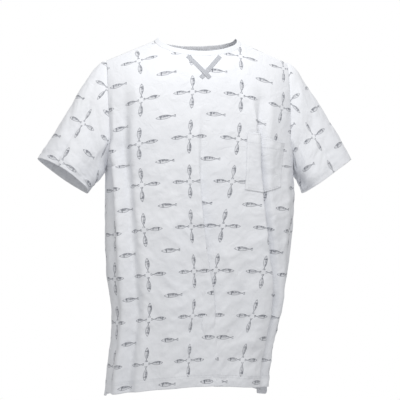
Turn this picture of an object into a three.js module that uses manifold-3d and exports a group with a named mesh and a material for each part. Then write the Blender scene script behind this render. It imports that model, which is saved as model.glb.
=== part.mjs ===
// Short-sleeved patient gown, as it hangs on the wearer: cloth panels, neckband, neck tapes,
// chest pocket and a back opening closed by press studs.
// Millimetres, +Z up. The front faces -Y and the wearer's right arm is at -X.
// The origin is at the middle of the neck opening, level with the inner ends of the shoulder seams.
import * as THREE from "three";
import { mergeVertices } from "three/addons/utils/BufferGeometryUtils.js";
import Module from "manifold-3d";

// ---- Cloth and seams ----
const clothThickness = 1.0; // printed cotton with its finish
const bandThickness = 1.6; // neckband, cloth folded double
const seamGap = 0.6; // between two panels that are sewn edge to edge
const armholeGap = 1.2; // between a panel's armhole edge and the sleeve cap
const layGap = 0.3; // between a piece and the cloth that it is sewn or clinched to

// ---- Shoulders and neck ----
const neckHalfWidth = 95;
const frontNeckDrop = 36;
const backNeckDrop = 15;
const neckRise = 12; // how far the shoulder line arches over the neck opening
const shoulderDrop = 44;
const shoulderRadiusFront = 110; // the cloth turns over the shoulder within this height
const shoulderRadiusBack = 45;

// ---- Body ----
const bodyHalfWidth = 212;
const bodyDepthFront = 104; // from the side seam's plane to the front
const bodyDepthBack = 85;

// Height, half width at the wearer's right and left, and depth to the front and back, the last
// four as shares of the three sizes above: the cloth hangs in towards the left below the waist.
const sections = [
  { z: 0, right: 1, left: 1, front: 0.71, back: 0.87 },
  { z: -44, right: 1, left: 1, front: 0.82, back: 0.92 },
  { z: -110, right: 1, left: 1, front: 0.93, back: 0.965 },
  { z: -200, right: 0.98, left: 1.005, front: 1, back: 1 },
  { z: -275, right: 0.945, left: 1.01, front: 0.99, back: 0.99 },
  { z: -360, right: 0.945, left: 1.02, front: 0.97, back: 0.965 },
  { z: -450, right: 0.945, left: 0.99, front: 0.95, back: 0.955 },
  { z: -520, right: 0.93, left: 0.945, front: 0.94, back: 0.955 },
  { z: -590, right: 0.89, left: 0.88, front: 0.94, back: 0.955 },
  { z: -650, right: 0.895, left: 0.81, front: 0.95, back: 0.965 },
  { z: -710, right: 0.93, left: 0.745, front: 0.97, back: 0.975 },
  { z: -780, right: 0.96, left: 0.745, front: 0.99, back: 0.99 },
];
const sectionPower = 2.4; // 2 is an ellipse, more is squarer
const hemZ = -744; // the hem at the middle
const hemSideDrop = 22; // how much lower the hem hangs at the side seams

// ---- Armholes ----
const armholeBottom = -275;
const armholeInset = 0.057; // share of the half width that the armhole edge stands in from the side
const armholeTurn = 60; // height over which the armhole's foot rounds into the side seam
const shoulderTipX = bodyHalfWidth * (1 - armholeInset);

// ---- Sleeves ----
const cuffOut = 93; // from the shoulder tip out to the middle of the cuff
const cuffDrop = 251; // from the shoulder tip down to the middle of the cuff
const cuffHalfHeight = 65; // from the sleeve's fold line to its underarm seam, halved
const cuffHalfDepth = 55;
const cuffSlope = 35; // degrees that the cuff's long axis rises outwards
const sleeveCapBulge = 12;

// ---- Neckband and neck tapes ----
const bandHeight = 12;
const bandGap = 1.2; // between the neckline and the band's lower edge
const bandLean = 0.45; // how far the band leans in for each unit that it rises
const tapeWidth = 9;
const tapeThickness = 0.8;
const tapeCrossX = 4;
const tapeCrossZ = -75;
const tapeTopSpread = 34; // half the distance between the tapes' upper ends
const tapeTopZ = -39;
const tapeTail = 16; // how far the tapes run on below the crossing

// ---- Chest pocket, on the wearer's left ----
const pocketInnerX = 85;
const pocketWidth = 92; // seen from the front
const pocketTop = -206; // height of its mouth
const pocketDepth = 122;
const pocketPoint = 10; // how far the middle of the bottom edge hangs below its corners
const pocketGape = 7; // how far the pocket stands off where it holds things

// ---- Back opening ----
const flapFoldInset = 15; // how far the flaps' upright fold lines stand in from the neck's sides
const flapOverlap = 20; // how far each flap passes the middle
const lapGap = 4.4; // between the two flaps, where the press studs sit
const flapFoldX = neckHalfWidth - flapFoldInset;
const liftMargin = 8; // the over flap is flat for this far from its fold, and before the lap
const studHeights = [-80, -250, -420, -590];

// ---- Press studs ----
const capRadius = 6;
const capThickness = 1.3;
const studFlangeRadius = 5;
const studFlangeThickness = 0.7;
const studHeadRadius = 2.8;
const studNeckRadius = 2.3;
const studHeadHeight = 0.7; // of the head's round edge
const studRoof = 0.9; // metal above the end of the post
const socketRadius = 5;
const socketBead = 0.3; // the socket's rolled rim stands out by this much
const socketBeadHeight = 0.8;
const socketCavityRadius = 3.7;
const socketMouthRadius = 4.2;
const socketRoof = 0.7;
const studClearance = 0.4; // between the stud's head and the socket's roof
const shankRadius = 1.1;
const shankClearance = 0.3;
const shankGap = 0.4; // between a post's end and the stud's roof
const latheSegments = 16;

const wasm = await Module();
wasm.setup();
const gown = new THREE.Group();

const lerp = (a, b, t) => a + (b - a) * t;
const clamp = (t) => Math.min(1, Math.max(0, t));
const smooth = (t) => clamp(t) ** 2 * (3 - 2 * clamp(t));
const steps = (n) => Array.from({ length: n + 1 }, (_, i) => i / n);

// ---- The body's surface ----
// The value of one column of the sections table at height z, on straight lines between its rows.
function sectionAt(z, key) {
  const i = Math.min(
    sections.length - 2,
    Math.max(0, sections.findIndex((s) => s.z <= z) - 1),
  );
  const [a, b] = [sections[i], sections[i + 1]];
  return lerp(a[key], b[key], clamp((a.z - z) / (a.z - b.z)));
}

// Height of the shoulder line above a point x from the middle.
function shoulderZ(x) {
  const d = Math.abs(x);
  if (d <= neckHalfWidth) return neckRise * (1 - (d / neckHalfWidth) ** 2);
  return (-shoulderDrop * (d - neckHalfWidth)) / (shoulderTipX - neckHalfWidth);
}

// Upper edge of a panel: the shoulder seam, and the neckline between the two seams.
function topZ(x, neckDrop) {
  const d = Math.abs(x) / neckHalfWidth;
  if (d < 1) return -neckDrop * Math.sqrt(1 - d * d);
  return shoulderZ(x);
}

const hemAt = (x) => hemZ - hemSideDrop * (x / shoulderTipX) ** 2;

// Half width at height z on the side of x's sign.
const halfWidth = (z, sign) => bodyHalfWidth * sectionAt(z, sign < 0 ? "right" : "left");

// Depth at height z, with way -1 on the front and 1 on the back.
function depthAt(z, way) {
  return way < 0 ? bodyDepthFront * sectionAt(z, "front") : bodyDepthBack * sectionAt(z, "back");
}

// The share of the half width where the panel ends: 1 at the side seam, less along the armhole.
function edgeShare(z) {
  const rise = clamp((z - armholeBottom) / armholeTurn);
  return 1 - armholeInset * rise ** 1.2;
}

// A point on the body. way is -1 on the front and 1 on the back; inset moves it into the body.
function bodyPoint(way, x, z, inset = 0) {
  const w = halfWidth(z, x) - inset;
  const d = depthAt(z, way) - inset;
  const radius = way < 0 ? shoulderRadiusFront : shoulderRadiusBack;
  const round = (1 - clamp(Math.abs(x) / w) ** sectionPower) ** (1 / sectionPower);
  const under = clamp((shoulderZ(x) - inset - z) / radius);
  const turn = Math.sqrt(1 - (1 - under) ** 2);
  return new THREE.Vector3(x, way * (seamGap / 2 + d * round * turn), z);
}

// Unit normal of the body's surface at x, z, pointing out.
function bodyNormal(way, x, z) {
  const e = 1;
  const dx = bodyPoint(way, x + e, z).sub(bodyPoint(way, x - e, z));
  const dz = bodyPoint(way, x, z + e).sub(bodyPoint(way, x, z - e));
  const n = dx.cross(dz).normalize();
  return n.y * way < 0 ? n.negate() : n;
}

// Where x stands along a quarter of the section whose half width is w, as an angle.
const sectionAngle = (x, w) => Math.asin((x / w) ** (sectionPower / 2));

// x of the panel's column s at height z. |s| runs from 0 at fromX to 1 at the panel's outer edge.
function columnX(s, z, inset = 0, fromX = 0) {
  const w = halfWidth(z, s) - inset;
  const angle = lerp(sectionAngle(fromX, w), sectionAngle(w * edgeShare(z), w), Math.abs(s));
  return Math.sign(s) * w * Math.sin(angle) ** (2 / sectionPower);
}

// The column that passes x at the top of the shoulder: the reverse of columnX.
function columnOf(x, fromX = 0) {
  const w = halfWidth(0, x);
  const [first, here, last] = [fromX, Math.abs(x), w * edgeShare(0)].map((d) => sectionAngle(d, w));
  return (Math.sign(x) * (here - first)) / (last - first);
}

// ---- Solids from grids ----
// A closed solid between an outer and an inner grid of points, each rows x columns.
function solidBetween(outer, inner, closedColumns = false) {
  const rows = outer.length;
  const cols = outer[0].length;
  const at = (layer, r, c) => layer * rows * cols + r * cols + (c % cols);
  const index = [];
  const quad = (a, b, c, d) => index.push(a, b, c, a, c, d);
  const lastCol = closedColumns ? cols : cols - 1;
  for (let r = 0; r < rows - 1; r++) {
    for (let c = 0; c < lastCol; c++) {
      quad(at(0, r, c), at(0, r, c + 1), at(0, r + 1, c + 1), at(0, r + 1, c));
      quad(at(1, r + 1, c), at(1, r + 1, c + 1), at(1, r, c + 1), at(1, r, c));
    }
  }
  for (let c = 0; c < lastCol; c++) {
    quad(at(1, 0, c), at(1, 0, c + 1), at(0, 0, c + 1), at(0, 0, c));
    quad(at(0, rows - 1, c), at(0, rows - 1, c + 1), at(1, rows - 1, c + 1), at(1, rows - 1, c));
  }
  if (!closedColumns) {
    for (let r = 0; r < rows - 1; r++) {
      quad(at(0, r, 0), at(0, r + 1, 0), at(1, r + 1, 0), at(1, r, 0));
      quad(at(1, r, cols - 1), at(1, r + 1, cols - 1), at(0, r + 1, cols - 1), at(0, r, cols - 1));
    }
  }
  const position = [...outer.flat(), ...inner.flat()].flatMap((p) => p.toArray());
  return facingOut(new THREE.BufferGeometry()
    .setAttribute("position", new THREE.Float32BufferAttribute(position, 3))
    .setIndex(index));
}

// The geometry with its triangles turned round if they face inwards.
function facingOut(geometry) {
  const p = geometry.attributes.position;
  const index = geometry.index.array;
  const corner = (i) => new THREE.Vector3().fromBufferAttribute(p, index[i]);
  let volume = 0;
  for (let i = 0; i < index.length; i += 3) {
    volume += corner(i).dot(corner(i + 1).cross(corner(i + 2)));
  }
  if (volume < 0) {
    for (let i = 0; i < index.length; i += 3) {
      [index[i + 1], index[i + 2]] = [index[i + 2], index[i + 1]];
    }
  }
  return geometry;
}

// The grid moved in along its own normals, which point away from the point that centreOf gives.
function movedIn(grid, distance, centreOf, closedColumns = false) {
  const rows = grid.length;
  const cols = grid[0].length;
  return grid.map((row, r) => row.map((p, c) => {
    const up = grid[Math.min(r + 1, rows - 1)][c].clone().sub(grid[Math.max(r - 1, 0)][c]);
    const next = closedColumns ? row[(c + 1) % cols] : row[Math.min(c + 1, cols - 1)];
    const last = closedColumns ? row[(c + cols - 1) % cols] : row[Math.max(c - 1, 0)];
    const n = up.cross(next.clone().sub(last)).normalize();
    if (n.dot(p.clone().sub(centreOf(p))) < 0) n.negate();
    return p.clone().addScaledVector(n, -distance);
  }));
}

function material(color, roughness, metalness = 0) {
  return new THREE.MeshStandardMaterial({ color, roughness, metalness, side: THREE.DoubleSide });
}
const clothMaterial = material("#eceef2", 0.9);
const bandMaterial = material("#f4f5f7", 0.85);
const tapeMaterial = material("#a9acb4", 0.9);
const studMaterial = material("#f2f2ee", 0.35);
const studMetal = material("#b9bcc0", 0.3, 1);

function add(name, geometry, look) {
  const mesh = new THREE.Mesh(geometry, look);
  mesh.name = name;
  gown.add(mesh);
  return mesh;
}

// ---- Panels ----
const lowerRows = 12;
const upperRows = 8;

// Heights of one column: even from the hem to the armhole's foot, then closing up towards both
// ends of the armhole, so that the panel's edge and the sleeve cap meet at the same points.
function rowShare(r) {
  if (r <= lowerRows) return { below: true, t: r / lowerRows };
  return { below: false, t: (1 - Math.cos((Math.PI * (r - lowerRows)) / upperRows)) / 2 };
}

// Height of column s at the shoulder seam or the neckline, found by stepping towards it.
function columnTop(s, xOf, drop) {
  let z = 0;
  for (let pass = 0; pass < 6; pass++) z = topZ(xOf(s, z), drop);
  return z;
}

// A grid of the body's surface. xOf(s, z) gives x along column s; drop is the neckline's depth.
function bodyGrid(way, columns, xOf, drop, inset, liftOf = () => 0) {
  return Array.from({ length: lowerRows + upperRows + 1 }, (_, r) => columns.map((s) => {
    let top = columnTop(s, xOf, drop);
    if (Math.abs(xOf(s, top)) >= neckHalfWidth) top -= inset;
    const share = rowShare(r);
    const hem = hemAt(xOf(s, hemZ));
    const z = share.below ? lerp(hem, armholeBottom, share.t) : lerp(armholeBottom, top, share.t);
    const x = xOf(s, z);
    const p = bodyPoint(way, x, z, inset);
    return p.addScaledVector(bodyNormal(way, x, z), liftOf(x));
  }));
}

function panel(way, columns, xOf, drop, liftOf) {
  const outer = bodyGrid(way, columns, (s, z) => xOf(s, z, 0), drop, 0, liftOf);
  const inner = bodyGrid(way, columns, (s, z) => xOf(s, z, clothThickness), drop, clothThickness, liftOf);
  return solidBetween(outer, inner);
}

// x along the neckline between two places, closing up towards the shoulder seams.
const necklineX = (from, to, n) => steps(n).map((t) => {
  const angle = lerp(Math.asin(from / neckHalfWidth), Math.asin(to / neckHalfWidth), t);
  return neckHalfWidth * Math.sin(angle);
});

// The front is one panel from side seam to side seam.
const neckColumn = columnOf(neckHalfWidth);
const frontNeckColumns = necklineX(-neckHalfWidth, neckHalfWidth, 12).map((x) => columnOf(x));
const frontColumns = [
  ...steps(6).map((t) => lerp(-1, -neckColumn, t)).slice(0, -1),
  ...frontNeckColumns,
  ...steps(6).map((t) => lerp(neckColumn, 1, t)).slice(1),
];
const frontX = (s, z, inset) => columnX(s, z, inset);
add("front_panel", panel(-1, frontColumns, frontX, frontNeckDrop), clothMaterial);

// Each side of the back runs from the flap's fold line to the side seam and the armhole.
const foldEdge = flapFoldX + seamGap / 2;
const backX = (s, z, inset) => columnX(s, z, inset, foldEdge);
const backNeckColumns = necklineX(foldEdge, neckHalfWidth, 3).map((x) => columnOf(x, foldEdge));
const backColumns = [
  ...backNeckColumns,
  ...steps(6).map((t) => lerp(columnOf(neckHalfWidth, foldEdge), 1, t)).slice(1),
];
for (const [name, sign] of [["back_panel_right", -1], ["back_panel_left", 1]]) {
  const columns = backColumns.map((s) => sign * Math.max(s, 1e-9));
  add(name, panel(1, columns, backX, backNeckDrop), clothMaterial);
}

// The over flap is lifted off the under flap where they lap.
function overFlapLift(x) {
  const rise = flapFoldX - flapOverlap - 2 * liftMargin;
  return (lapGap + clothThickness) * smooth((x + flapFoldX - liftMargin) / rise);
}
const flaps = {
  over: { body: "right", sign: -1, liftOf: overFlapLift },
  under: { body: "left", sign: 1, liftOf: () => 0 },
};
// A flap reaches from its fold line to flapOverlap past the middle.
const flapX = (sign, t) => sign * lerp(flapFoldX - seamGap / 2, -flapOverlap, t);

// ---- Press studs: four parts at each place, clinched through the flaps ----
const lathe = (profile) => facingOut(mergeVertices(cleaned(new THREE.LatheGeometry(
  profile.map(([r, y]) => new THREE.Vector2(r, y)), latheSegments)), 1e-4));

function cleaned(geometry) {
  geometry.deleteAttribute("normal");
  geometry.deleteAttribute("uv");
  return geometry;
}

// Heights are along the stud's axis, from the under flap's outer face.
const overInner = lapGap;
const overOuter = lapGap + clothThickness;
const socketTop = overInner - layGap;
const socketFoot = layGap + studFlangeThickness + layGap;
const studTop = socketTop - socketRoof - studClearance;
const postFoot = -clothThickness - layGap;
const postEnd = studTop - studRoof - shankGap;
const capFoot = overOuter + layGap;
const capEdge = capRadius - 0.4; // where the plastic rounds off
const capFlat = capRadius - 1.6;
const boreRadius = shankRadius + shankClearance;
const studParts = {
  stud_post: [
    [0, postFoot - capThickness],
    [capFlat, postFoot - capThickness],
    [capEdge, postFoot - capThickness / 2],
    [capEdge, postFoot],
    [shankRadius, postFoot],
    [shankRadius, postEnd],
    [0, postEnd],
  ],
  stud: [
    [boreRadius, layGap],
    [studFlangeRadius, layGap],
    [studFlangeRadius, layGap + studFlangeThickness],
    [studNeckRadius, layGap + studFlangeThickness],
    [studHeadRadius, studTop - studHeadHeight],
    [studNeckRadius, studTop],
    [0, studTop],
    [0, studTop - studRoof],
    [boreRadius, studTop - studRoof],
    [boreRadius, layGap],
  ],
  socket: [
    [socketMouthRadius, socketFoot],
    [socketRadius, socketFoot],
    [socketRadius + socketBead, socketTop - socketBeadHeight],
    [socketRadius + socketBead, socketTop],
    [boreRadius, socketTop],
    [boreRadius, socketTop - socketRoof],
    [socketCavityRadius, socketTop - socketRoof],
    [socketMouthRadius, socketFoot],
  ],
  stud_cap: [
    [0, socketTop - socketRoof / 2],
    [shankRadius, socketTop - socketRoof / 2],
    [shankRadius, capFoot],
    [capRadius, capFoot],
    [capEdge, capFoot + capThickness / 2],
    [capFlat, capFoot + capThickness],
    [0, capFoot + capThickness],
  ],
};
const studLooks = { stud_post: studMaterial, stud: studMetal, socket: studMetal, stud_cap: studMaterial };

function studFrame(z) {
  const normal = bodyNormal(1, 0, z);
  const turn = new THREE.Quaternion().setFromUnitVectors(new THREE.Vector3(0, 1, 0), normal);
  return { at: bodyPoint(1, 0, z), turn };
}

studHeights.forEach((z, i) => {
  const frame = studFrame(z);
  for (const [part, profile] of Object.entries(studParts)) {
    const mesh = add(`${part}_${i + 1}`, lathe(profile), studLooks[part]);
    mesh.position.copy(frame.at);
    mesh.quaternion.copy(frame.turn);
  }
});

// ---- The flaps, pierced for the shanks ----
function toManifold(geometry) {
  const merged = mergeVertices(geometry, 1e-4);
  return new wasm.Manifold(new wasm.Mesh({
    numProp: 3,
    vertProperties: new Float32Array(merged.attributes.position.array),
    triVerts: new Uint32Array(merged.index.array),
  }));
}

function fromManifold(solid) {
  const mesh = solid.getMesh();
  return new THREE.BufferGeometry()
    .setAttribute("position", new THREE.BufferAttribute(new Float32Array(mesh.vertProperties), 3))
    .setIndex(new THREE.BufferAttribute(new Uint32Array(mesh.triVerts), 1));
}

function pierced(geometry) {
  let solid = toManifold(geometry);
  for (const z of studHeights) {
    const frame = studFrame(z);
    const length = 4 * lapGap; // to each side of the under flap's outer face
    const drill = lathe([[0, -length], [boreRadius, -length], [boreRadius, length], [0, length]]);
    drill.applyQuaternion(frame.turn).translate(frame.at.x, frame.at.y, frame.at.z);
    solid = solid.subtract(toManifold(drill));
  }
  return fromManifold(solid);
}

for (const [which, flap] of Object.entries(flaps)) {
  const xOf = (s) => flapX(flap.sign, s);
  const cloth = panel(1, steps(8), xOf, backNeckDrop, flap.liftOf);
  add(`back_flap_${flap.body}_${which}`, pierced(cloth), clothMaterial);
}

// ---- Neckband ----
// A strip that stands on the neckline and leans in. points are [way, x] pairs along the neckline.
function neckband(points, liftOf = () => 0) {
  const strip = (inset) => steps(2).map((h) => points.map(([way, x]) => {
    const z = topZ(x, way < 0 ? frontNeckDrop : backNeckDrop);
    const p = bodyPoint(way, x, z);
    const n = bodyNormal(way, x, z - 2);
    p.addScaledVector(n, liftOf(x));
    const inward = new THREE.Vector3(-p.x, -p.y * 1.6, 0).normalize();
    const rise = new THREE.Vector3(0, 0, 1).addScaledVector(inward, bandLean).normalize();
    const across = rise.clone().cross(inward.clone().cross(new THREE.Vector3(0, 0, 1))).normalize();
    if (across.dot(inward) < 0) across.negate();
    return p.addScaledVector(rise, bandGap + bandHeight * h)
      .addScaledVector(across, inset - clothThickness / 2);
  }));
  return solidBetween(strip(0), strip(bandThickness));
}

// The neckline's x values for a list of columns, at their own tops.
const topXs = (columns, xOf, drop) => columns.map((c) => xOf(c, columnTop(c, xOf, drop), 0));
const backNeckXs = topXs(backNeckColumns.map((c) => Math.max(c, 1e-9)), backX, backNeckDrop);
const frontBandPoints = [
  ...backNeckXs.slice(0, -1).map((x) => [1, -x]),
  ...topXs(frontNeckColumns, frontX, frontNeckDrop).map((x) => [-1, x]),
  ...backNeckXs.slice(0, -1).reverse().map((x) => [1, x]),
];
add("neckband_front", neckband(frontBandPoints), bandMaterial);
for (const [which, flap] of Object.entries(flaps)) {
  const xs = steps(8).map((t) => flapX(flap.sign, t));
  add(`neckband_back_${flap.body}`, neckband(xs.map((x) => [1, x]), flap.liftOf), bandMaterial);
}

// ---- Crossed tapes below the neckband ----
// A strip on the front, along a straight line from a to b as seen from the front.
function tape(a, b, liftOf) {
  const along = new THREE.Vector2(b.x - a.x, b.z - a.z).normalize();
  const side = new THREE.Vector2(-along.y, along.x).multiplyScalar(tapeWidth / 2);
  const layer = (thickness) => steps(12).map((t) => steps(2).map((w) => {
    const x = lerp(a.x, b.x, t) + side.x * (2 * w - 1);
    const z = lerp(a.z, b.z, t) + side.y * (2 * w - 1);
    const cross = Math.hypot(lerp(a.x, b.x, t) - tapeCrossX, lerp(a.z, b.z, t) - tapeCrossZ);
    const lift = layGap + thickness + liftOf(cross);
    return bodyPoint(-1, x, z).addScaledVector(bodyNormal(-1, x, z), lift);
  }));
  return solidBetween(layer(tapeThickness), layer(0));
}

const overTape = (cross) => (tapeThickness + layGap) * (1 - smooth((cross - tapeWidth) / tapeWidth));
for (const [name, sign, liftOf] of [["neck_tape_under", 1, () => 0], ["neck_tape_over", -1, overTape]]) {
  const top = { x: tapeCrossX + sign * tapeTopSpread, z: tapeTopZ };
  const run = (tapeTopZ - tapeCrossZ + tapeTail) / (tapeTopZ - tapeCrossZ);
  const foot = { x: lerp(top.x, tapeCrossX, run), z: lerp(tapeTopZ, tapeCrossZ, run) };
  add(name, tape(top, foot, liftOf), tapeMaterial);
}

// ---- Chest pocket ----
// A patch that is sewn down at its sides and bottom, and stands off by the gape at its mouth.
function pocket() {
  const layer = (thickness) => steps(6).map((v) => steps(6).map((u) => {
    const foot = pocketTop - pocketDepth - pocketPoint * (1 - Math.abs(2 * u - 1));
    const z = lerp(foot, pocketTop, v);
    const x = pocketInnerX + pocketWidth * u;
    const sewn = smooth(Math.min(u, 1 - u) * 6) * smooth(v * 3);
    const lift = layGap + pocketGape * sewn + thickness;
    return bodyPoint(-1, x, z).addScaledVector(bodyNormal(-1, x, z), lift);
  }));
  return solidBetween(layer(clothThickness), layer(0));
}
add("chest_pocket", pocket(), bandMaterial);

// ---- Sleeves ----
// Each sleeve is a tube from the armhole to the cuff. Its angle runs from the shoulder tip,
// over the front, to the underarm and back.
const sleeveAngles = 2 * upperRows;
const sleeveRings = 7;
const tipZ = shoulderZ(shoulderTipX);
const cuffCentre = { x: shoulderTipX + cuffOut, z: tipZ - cuffDrop };

function sleevePoint(sign, t, k) {
  const angle = (2 * Math.PI * k) / sleeveAngles;
  const z0 = lerp(armholeBottom, tipZ, (1 + Math.cos(angle)) / 2);
  const way = k <= sleeveAngles / 2 ? -1 : 1;
  const edge = bodyPoint(way, columnX(sign, z0), z0);
  if (k % (sleeveAngles / 2) === 0) edge.y = 0;
  edge.x += sign * armholeGap;
  const slope = THREE.MathUtils.degToRad(cuffSlope);
  const reach = cuffHalfHeight * Math.cos(angle);
  const cuff = new THREE.Vector3(
    sign * (cuffCentre.x + reach * Math.cos(slope)),
    -cuffHalfDepth * Math.sin(angle),
    cuffCentre.z + reach * Math.sin(slope),
  );
  const bulge = sleeveCapBulge * Math.sin(Math.PI * Math.sqrt(t)) * (1 + Math.cos(angle)) / 2;
  const p = edge.lerp(cuff, t);
  return p.add(new THREE.Vector3(sign * bulge * 0.8, 0, bulge * 0.5));
}

for (const [name, sign] of [["sleeve_right", -1], ["sleeve_left", 1]]) {
  const outer = steps(sleeveRings).map((t) => Array.from(
    { length: sleeveAngles }, (_, k) => sleevePoint(sign, t, k)));
  const armholeMiddle = (armholeBottom + tipZ) / 2;
  const centre = (p) => {
    const along = clamp((Math.abs(p.x) - shoulderTipX) / (cuffCentre.x - shoulderTipX));
    return new THREE.Vector3(p.x, 0, lerp(armholeMiddle, cuffCentre.z, along));
  };
  add(name, solidBetween(outer, movedIn(outer, clothThickness, centre, true), true), clothMaterial);
}

export default gown;
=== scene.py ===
# %% [markdown]
# # A short-sleeved patient gown
#
# The gown hangs as it does on a wearer, and nobody is in it. Its front, back and sleeves are printed
# cotton; the neckband and the chest pocket are plain cotton; two grey tapes cross below the neck; the
# back opens down its middle and closes with press studs. Each cloth is a surface worked out on a grid:
# a smooth body shape first, then the folds, written as the turning of the cloth along its own width.

import bpy
import numpy as np
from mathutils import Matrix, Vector


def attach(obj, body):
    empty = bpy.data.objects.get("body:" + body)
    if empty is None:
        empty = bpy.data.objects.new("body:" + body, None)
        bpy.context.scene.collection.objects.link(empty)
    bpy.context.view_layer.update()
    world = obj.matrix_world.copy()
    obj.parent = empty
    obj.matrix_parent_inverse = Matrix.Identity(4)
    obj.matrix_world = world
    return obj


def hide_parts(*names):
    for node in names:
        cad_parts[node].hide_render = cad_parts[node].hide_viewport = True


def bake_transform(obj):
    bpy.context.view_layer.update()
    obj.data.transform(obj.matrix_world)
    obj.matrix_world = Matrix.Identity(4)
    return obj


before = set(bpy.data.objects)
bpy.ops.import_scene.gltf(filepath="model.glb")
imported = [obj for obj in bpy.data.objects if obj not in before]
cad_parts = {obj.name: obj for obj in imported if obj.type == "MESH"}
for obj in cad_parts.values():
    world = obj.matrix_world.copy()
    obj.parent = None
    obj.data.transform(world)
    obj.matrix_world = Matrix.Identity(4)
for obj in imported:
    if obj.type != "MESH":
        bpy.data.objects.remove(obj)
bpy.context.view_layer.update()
MM = 0.001
ROOT, RIGHT_FLAP, LEFT_FLAP = "gown_body", "right_back_flap", "left_back_flap"
WORD = {-1: "right", 1: "left"}  # the wearer's side, by the sign of x

# %% [markdown]
# ## Driving sizes
#
# The same few sizes that the solid model is built from, in millimetres. +Z is up, the front faces -Y and
# the wearer's right is at -X. The origin is in the middle of the neck opening.

# %% Body sizes
HALF_WIDTH = 212.0
DEPTH = {-1: 104.0, 1: 85.0}  # to the front and to the back
POWER = 2.4  # 2 would make the section an ellipse
NECK_HALF_WIDTH = 95.0
NECK_DROP = {-1: 36.0, 1: 15.0}
NECK_RISE = 12.0
SHOULDER_DROP = 44.0
SHOULDER_RADIUS = {-1: 110.0, 1: 45.0}
ARMHOLE_BOTTOM = -275.0
ARMHOLE_INSET = 0.057
ARMHOLE_TURN = 60.0
SHOULDER_TIP = HALF_WIDTH * (1 - ARMHOLE_INSET)
HEM_Z = -744.0
HEM_SIDE_DROP = 22.0
CLOTH = 0.8  # thickness
FLAT_HALF_WIDTH = 300.0  # half of the front as it was cut, from side seam to side seam

# Height, and the shares of the sizes above there: width to the right and left, depth front and back.
SECTIONS = np.array([
    (-780, 0.96, 0.745, 0.99, 0.99),
    (-710, 0.93, 0.745, 0.97, 0.975),
    (-650, 0.895, 0.81, 0.95, 0.965),
    (-590, 0.89, 0.88, 0.94, 0.955),
    (-520, 0.93, 0.945, 0.94, 0.955),
    (-450, 0.945, 0.99, 0.95, 0.955),
    (-360, 0.945, 1.02, 0.97, 0.965),
    (-275, 0.945, 1.01, 0.99, 0.99),
    (-200, 0.98, 1.005, 1.0, 1.0),
    (-110, 1.0, 1.0, 0.93, 0.965),
    (-44, 1.0, 1.0, 0.82, 0.92),
    (0, 1.0, 1.0, 0.71, 0.87),
])

print("body", 2 * HALF_WIDTH, "mm wide,", sum(DEPTH.values()), "mm deep, hem at", HEM_Z)

# %% [markdown]
# ## Small helpers for curves
#
# A value that changes down the gown is given at a few heights and joined by a smooth curve, so no
# horizontal crease shows where two straight lines would meet.

# %% Curves


def smooth(t):
    """3t^2 - 2t^3, held at 0 and 1 outside that range."""
    t = np.clip(t, 0, 1)
    return t * t * (3 - 2 * t)


def through(x, xs, ys):
    """A smooth curve through (xs, ys): cubic Hermite pieces whose slopes are the chord over two gaps."""
    xs, ys = np.asarray(xs, float), np.asarray(ys, float)
    slope = np.gradient(ys, xs)
    i = np.clip(np.searchsorted(xs, x) - 1, 0, len(xs) - 2)
    gap = xs[i + 1] - xs[i]
    t = np.clip((x - xs[i]) / gap, 0, 1)
    a, b = 1 + 2 * t, t - 1
    return (
        ys[i] * a * b * b + slope[i] * gap * t * b * b
        + ys[i + 1] * t * t * (3 - 2 * t) + slope[i + 1] * gap * t * t * b
    )


def down(z, *pairs):
    """A smooth curve through (height, value) pairs that are listed from the hem up."""
    return through(z, [p[0] for p in pairs], [p[1] for p in pairs])


print("half way through a smooth step:", float(smooth(0.5)))

# %% [markdown]
# ## The body's shape
#
# Under the folds is a smooth body. An ellipse would be too pointed at the sides and a rounded box too flat
# in front, so each level section is the curve between them, |x/w|^n + |y/d|^n = 1. Its depth turns in over
# the shoulder, and the shoulder line, the neckline and the hem are curves of x alone.

# %% Body shape


def half_width(z, x):
    """Half width of the body at height z on the side of x's sign."""
    right, left = (through(z, SECTIONS[:, 0], SECTIONS[:, k]) for k in (1, 2))
    return HALF_WIDTH * np.where(x < 0, right, left)


def depth_at(z, way):
    """Depth of the body at height z; way is -1 for the front and 1 for the back."""
    return DEPTH[way] * through(z, SECTIONS[:, 0], SECTIONS[:, 3 if way < 0 else 4])


def shoulder_z(x):
    """Height of the shoulder line: an arch over the neck, then a straight slope to the tip."""
    d = np.abs(x)
    arch = NECK_RISE * (1 - (d / NECK_HALF_WIDTH) ** 2)
    slope = -SHOULDER_DROP * (d - NECK_HALF_WIDTH) / (SHOULDER_TIP - NECK_HALF_WIDTH)
    return np.where(d <= NECK_HALF_WIDTH, arch, slope)


def top_z(x, way):
    """Upper edge of a panel: the shoulder seam, and half an ellipse for the neckline."""
    d = np.abs(x) / NECK_HALF_WIDTH
    neck = -NECK_DROP[way] * np.sqrt(np.clip(1 - d * d, 0, 1))
    return np.where(d < 1, neck, shoulder_z(x))


def hem_z(x):
    """Height of the hem, which hangs lower towards the sides by the square of x."""
    return HEM_Z - HEM_SIDE_DROP * (x / SHOULDER_TIP) ** 2


def edge_share(z):
    """Share of the half width where a panel ends: 1 at the side seam, less along the armhole."""
    return 1 - ARMHOLE_INSET * np.clip((z - ARMHOLE_BOTTOM) / ARMHOLE_TURN, 0, 1) ** 1.2


def body_point(way, x, z):
    """A point on the smooth body: |x/w|^n + |y/d|^n = 1, with the depth turned in over the shoulder."""
    w = half_width(z, x)
    section = (1 - np.clip(np.abs(x) / w, 0, 1) ** POWER) ** (1 / POWER)
    under = np.clip((shoulder_z(x) - z) / SHOULDER_RADIUS[way], 0, 1)
    y = way * depth_at(z, way) * section * np.sqrt(1 - (1 - under) ** 2)
    return np.stack(np.broadcast_arrays(x, y, z), -1)


print("half width at the hem, right and left:", [round(float(half_width(HEM_Z, x))) for x in (-1, 1)])

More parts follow.
